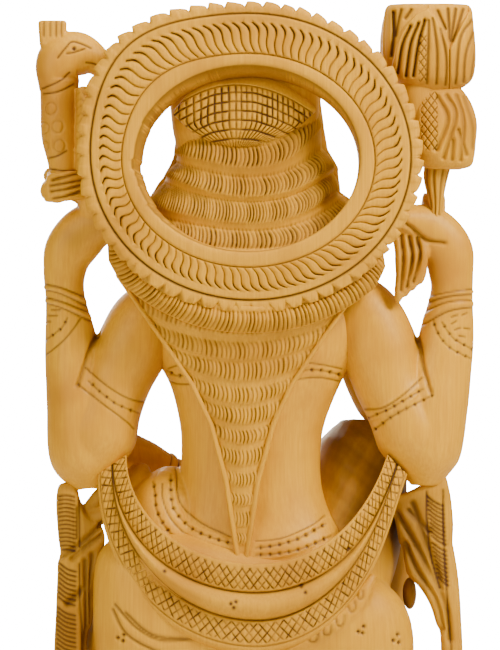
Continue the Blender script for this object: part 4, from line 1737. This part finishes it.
footSize = {
    "voxel": 1.0, "smoothing": 3,
    "left": [
        [2, -55, 124, 11, 12], [-14, -56, 123, 11, 12], [-32, -58, 121, 12, 9], [-44, -59, 118, 10.5, 6],
    ],
    "right": [
        [-77, -42, 122, 14, 13], [-78, -50, 117, 14, 11], [-80, -62, 114, 13.5, 7.5],
        [-81, -70, 112.5, 11.5, 5.5],
    ],
    "leftToes": {
        "count": 5, "from": (-42, -66, 116.5), "to": (-55, -67, 114.5), "step": (0.4, 3.6, 0.6),
        "tipStep": (1.4, 3.6, 0.6), "radius": 2.6, "up": (0, 0, 1),
    },
    "rightToes": {
        "count": 5, "from": (-90, -68, 113), "to": (-90.5, -74.5, 112.2), "step": (4.6, 0, 0),
        "tipStep": (4.4, 0.9, 0), "radius": 2.7, "up": (0, 0, 1),
    },
    "anklets": [
        [[-3, -55.5, 122.5, 14.5, 15.5], [3, -55, 123.5, 14.5, 15.5]],
        [[-77, -48, 124, 17.5, 17], [-77.3, -48.5, 131, 17.5, 17]],
    ],
}


# Bare feet with five toes each, and a ringed anklet above them.
def feet():
    s = footSize
    solids = limbs(s, left=(36, 40)) + [skin(limb(s["right"], sides=36, rows=40, up=(0, 0, 1)))]
    solids += fingers(s["leftToes"]) + fingers(s["rightToes"])
    grownPiece("feet", grown(solids, s), waxedWood)

    def ringed(far, angle):
        return np.abs(np.sin(9 * angle)) - ridge(far - 3.2, 0.8)

    anklets = [carvedLimb(rows, 160, 24, ringed, 0.6, ground=0.5) for rows in s["anklets"]]
    piece("anklets", together(anklets), waxedWood)


feet()
print("front of the figure made")

baseSize = {
    "half": (155, 78), "columns": 760, "petals": 16, "square": 2.15,
    # Height, share of the full size, and share of the relief of the upper and lower petals.
    "profile": [
        [0, 0.998, 0, 0], [1.2, 1, 0, 0], [16.5, 1, 0, 0], [18, 0.99, 0, 0], [19.5, 0.962, 0, 0],
        [23, 0.955, 0, 0], [25, 0.93, 0, 0], [28, 0.945, 0, 0.6], [34, 0.965, 0, 1], [46, 0.925, 0, 1],
        [57, 0.875, 0, 0.8], [61, 0.855, 0, 0.2], [64, 0.85, 0, 0], [67, 0.86, 0.2, 0], [72, 0.892, 0.8, 0],
        [84, 0.945, 1, 0], [96, 0.965, 1, 0], [103, 0.955, 0.8, 0], [107, 0.93, 0.2, 0], [109.5, 0.9, 0, 0],
        [110, 0.88, 0, 0], [110, 0.4, 0, 0],
    ],
    "bulge": 0.04, "groove": 0.012, "rows": 118,
    # Foot and tip of the petals, and how far round the first one stands, in petals.
    "upRow": (66, 106, 0.0), "downRow": (60, 26, 0.5),
}


# The seat: an oval lotus with one row of petals pointing down and one pointing up, on a
# plain foot. A petal is a raised leaf with two rim lines and a rib.
def lotusSeat():
    s = baseSize
    table = np.array(s["profile"])
    far = totals(np.hypot(np.diff(table[:, 0]), 90 * np.diff(table[:, 1])))
    at = np.unique(np.concatenate([np.linspace(0, far[-2], s["rows"]), far]))
    z, share, upRow, downRow = (np.interp(at, far, table[:, k])[:, None] for k in range(4))
    angle = fullTurn(s["columns"])[None]

    def row(foot, tip, phase):
        t = (z - foot) / (tip - foot)
        q = 2 * within(angle * s["petals"] / (2 * np.pi) + phase) - 1
        half = np.clip(1 - np.clip(t, 0, 1) ** 2.6, 0, 1) ** 0.62 * 0.96 + 0.02
        r = np.abs(q) / half
        inside = 1 - eased(0.93, 1.05, r)
        line = ridge((np.abs(q) - half) * 6, 0.42) + 0.8 * ridge((np.abs(q) - 0.72 * half) * 6, 0.3) * inside
        rib = 0.7 * ridge(q * 6, 0.4) * inside * (1 - eased(0.7, 0.9, t))
        return inside * (1 - 0.5 * r**2), line + rib

    (upLift, upLine), (downLift, downLine) = row(*s["upRow"]), row(*s["downRow"])
    lift = s["bulge"] * (upLift * upRow + downLift * downRow)
    line = upLine * (upRow > 0.15) + downLine * (downRow > 0.15)
    size = share - s["bulge"] * 0.8 * np.maximum(upRow, downRow) + lift - s["groove"] * line
    x = s["half"][0] * size * rounded(np.cos(angle), s["square"])
    y = s["half"][1] * size * rounded(np.sin(angle), s["square"])
    piece("lotusSeat", skin(np.stack([x, y, z + 0 * angle], -1), cut=0.75 * line), waxedWood)


lotusSeat()
print("seat made")


# Lengths in mm; each lamp has its place, size and power in watts.
stage = {
    "floor": 2500, "floorColour": "#F2F2F0", "glow": 0.7,
    "warm": (1, 0.94, 0.82, 1), "warmStrength": 0.38, "whiteStrength": 22.0, "lampColour": (1.0, 0.925, 0.76),
    "lamps": {
        "keyLight": ((-920, 740, 1220), 420, 36), "fillLight": ((1100, 1400, 1000), 900, 20),
        "topLight": ((0, 300, 1700), 700, 14), "frontLight": ((700, -1500, 1000), 900, 27),
    },
    "target": (4.5, 35, 378), "distance": 4500, "frameHeight": 455.0,
}


# A floor, light from all round and from four lamps, and the camera straight behind her.
def setStage():
    s = stage
    white = (1, 1, 1, 1)
    slab = [[0, 0, z, s["floor"], s["floor"]] for z in (-6, 0)]
    floor = meshFrom("floor", *skin(stack(slab, sides=96, rows=2, square=2.0))[:2])
    obj = placed("floor", floor)
    paint = bpy.data.materials.new("matt white paint")
    paint.use_nodes = True
    tree = paint.node_tree
    shader = tree.nodes["Principled BSDF"].inputs
    shader["Base Color"].default_value = linear(s["floorColour"])
    shader["Roughness"].default_value = 0.8
    # Towards the camera the floor glows a little, which keeps it pale far from the lamps.
    looked = node(tree, "ShaderNodeLightPath").outputs["Is Camera Ray"]
    glow = node(tree, "ShaderNodeMath", {"operation": "MULTIPLY"}, in0=looked, in1=s["glow"]).outputs[0]
    tree.links.new(glow, shader["Emission Strength"])
    shader["Emission Color"].default_value = white
    floor.materials.append(paint)
    # White all round: bright where the camera looks straight at it, softer as light.
    world = bpy.data.worlds.new("studio")
    world.use_nodes = True
    tree = world.node_tree
    tree.nodes.clear()
    seen = node(tree, "ShaderNodeLightPath").outputs["Is Camera Ray"]
    bright = node(tree, "ShaderNodeBackground", Color=white, Strength=s["whiteStrength"]).outputs[0]
    soft = node(tree, "ShaderNodeBackground", Color=s["warm"], Strength=s["warmStrength"]).outputs[0]
    both = node(tree, "ShaderNodeMixShader", Fac=seen, in1=soft, in2=bright).outputs[0]
    node(tree, "ShaderNodeOutputWorld", Surface=both)
    bpy.context.scene.world = world
    target = Vector(s["target"]) * mm
    for name, (place, size, power) in s["lamps"].items():
        lamp = bpy.data.lights.new(name, "AREA")
        lamp.size, lamp.energy, lamp.color = size * mm, power, s["lampColour"]
        holder = placed(name, lamp)
        holder.location = Vector(place) * mm
        holder.rotation_euler = (target - holder.location).to_track_quat("-Z", "Y").to_euler()
    lens = bpy.data.cameras.new("camera")
    lens.lens = lens.sensor_width * s["distance"] / s["frameHeight"]
    lens.clip_end = 100
    eye = placed("camera", lens)
    back = Vector((0, 1, 0))
    eye.location = target + back * s["distance"] * mm
    eye.rotation_euler = (-back).to_track_quat("-Z", "Y").to_euler()
    bpy.context.scene.camera = eye


setStage()
print("stage set")
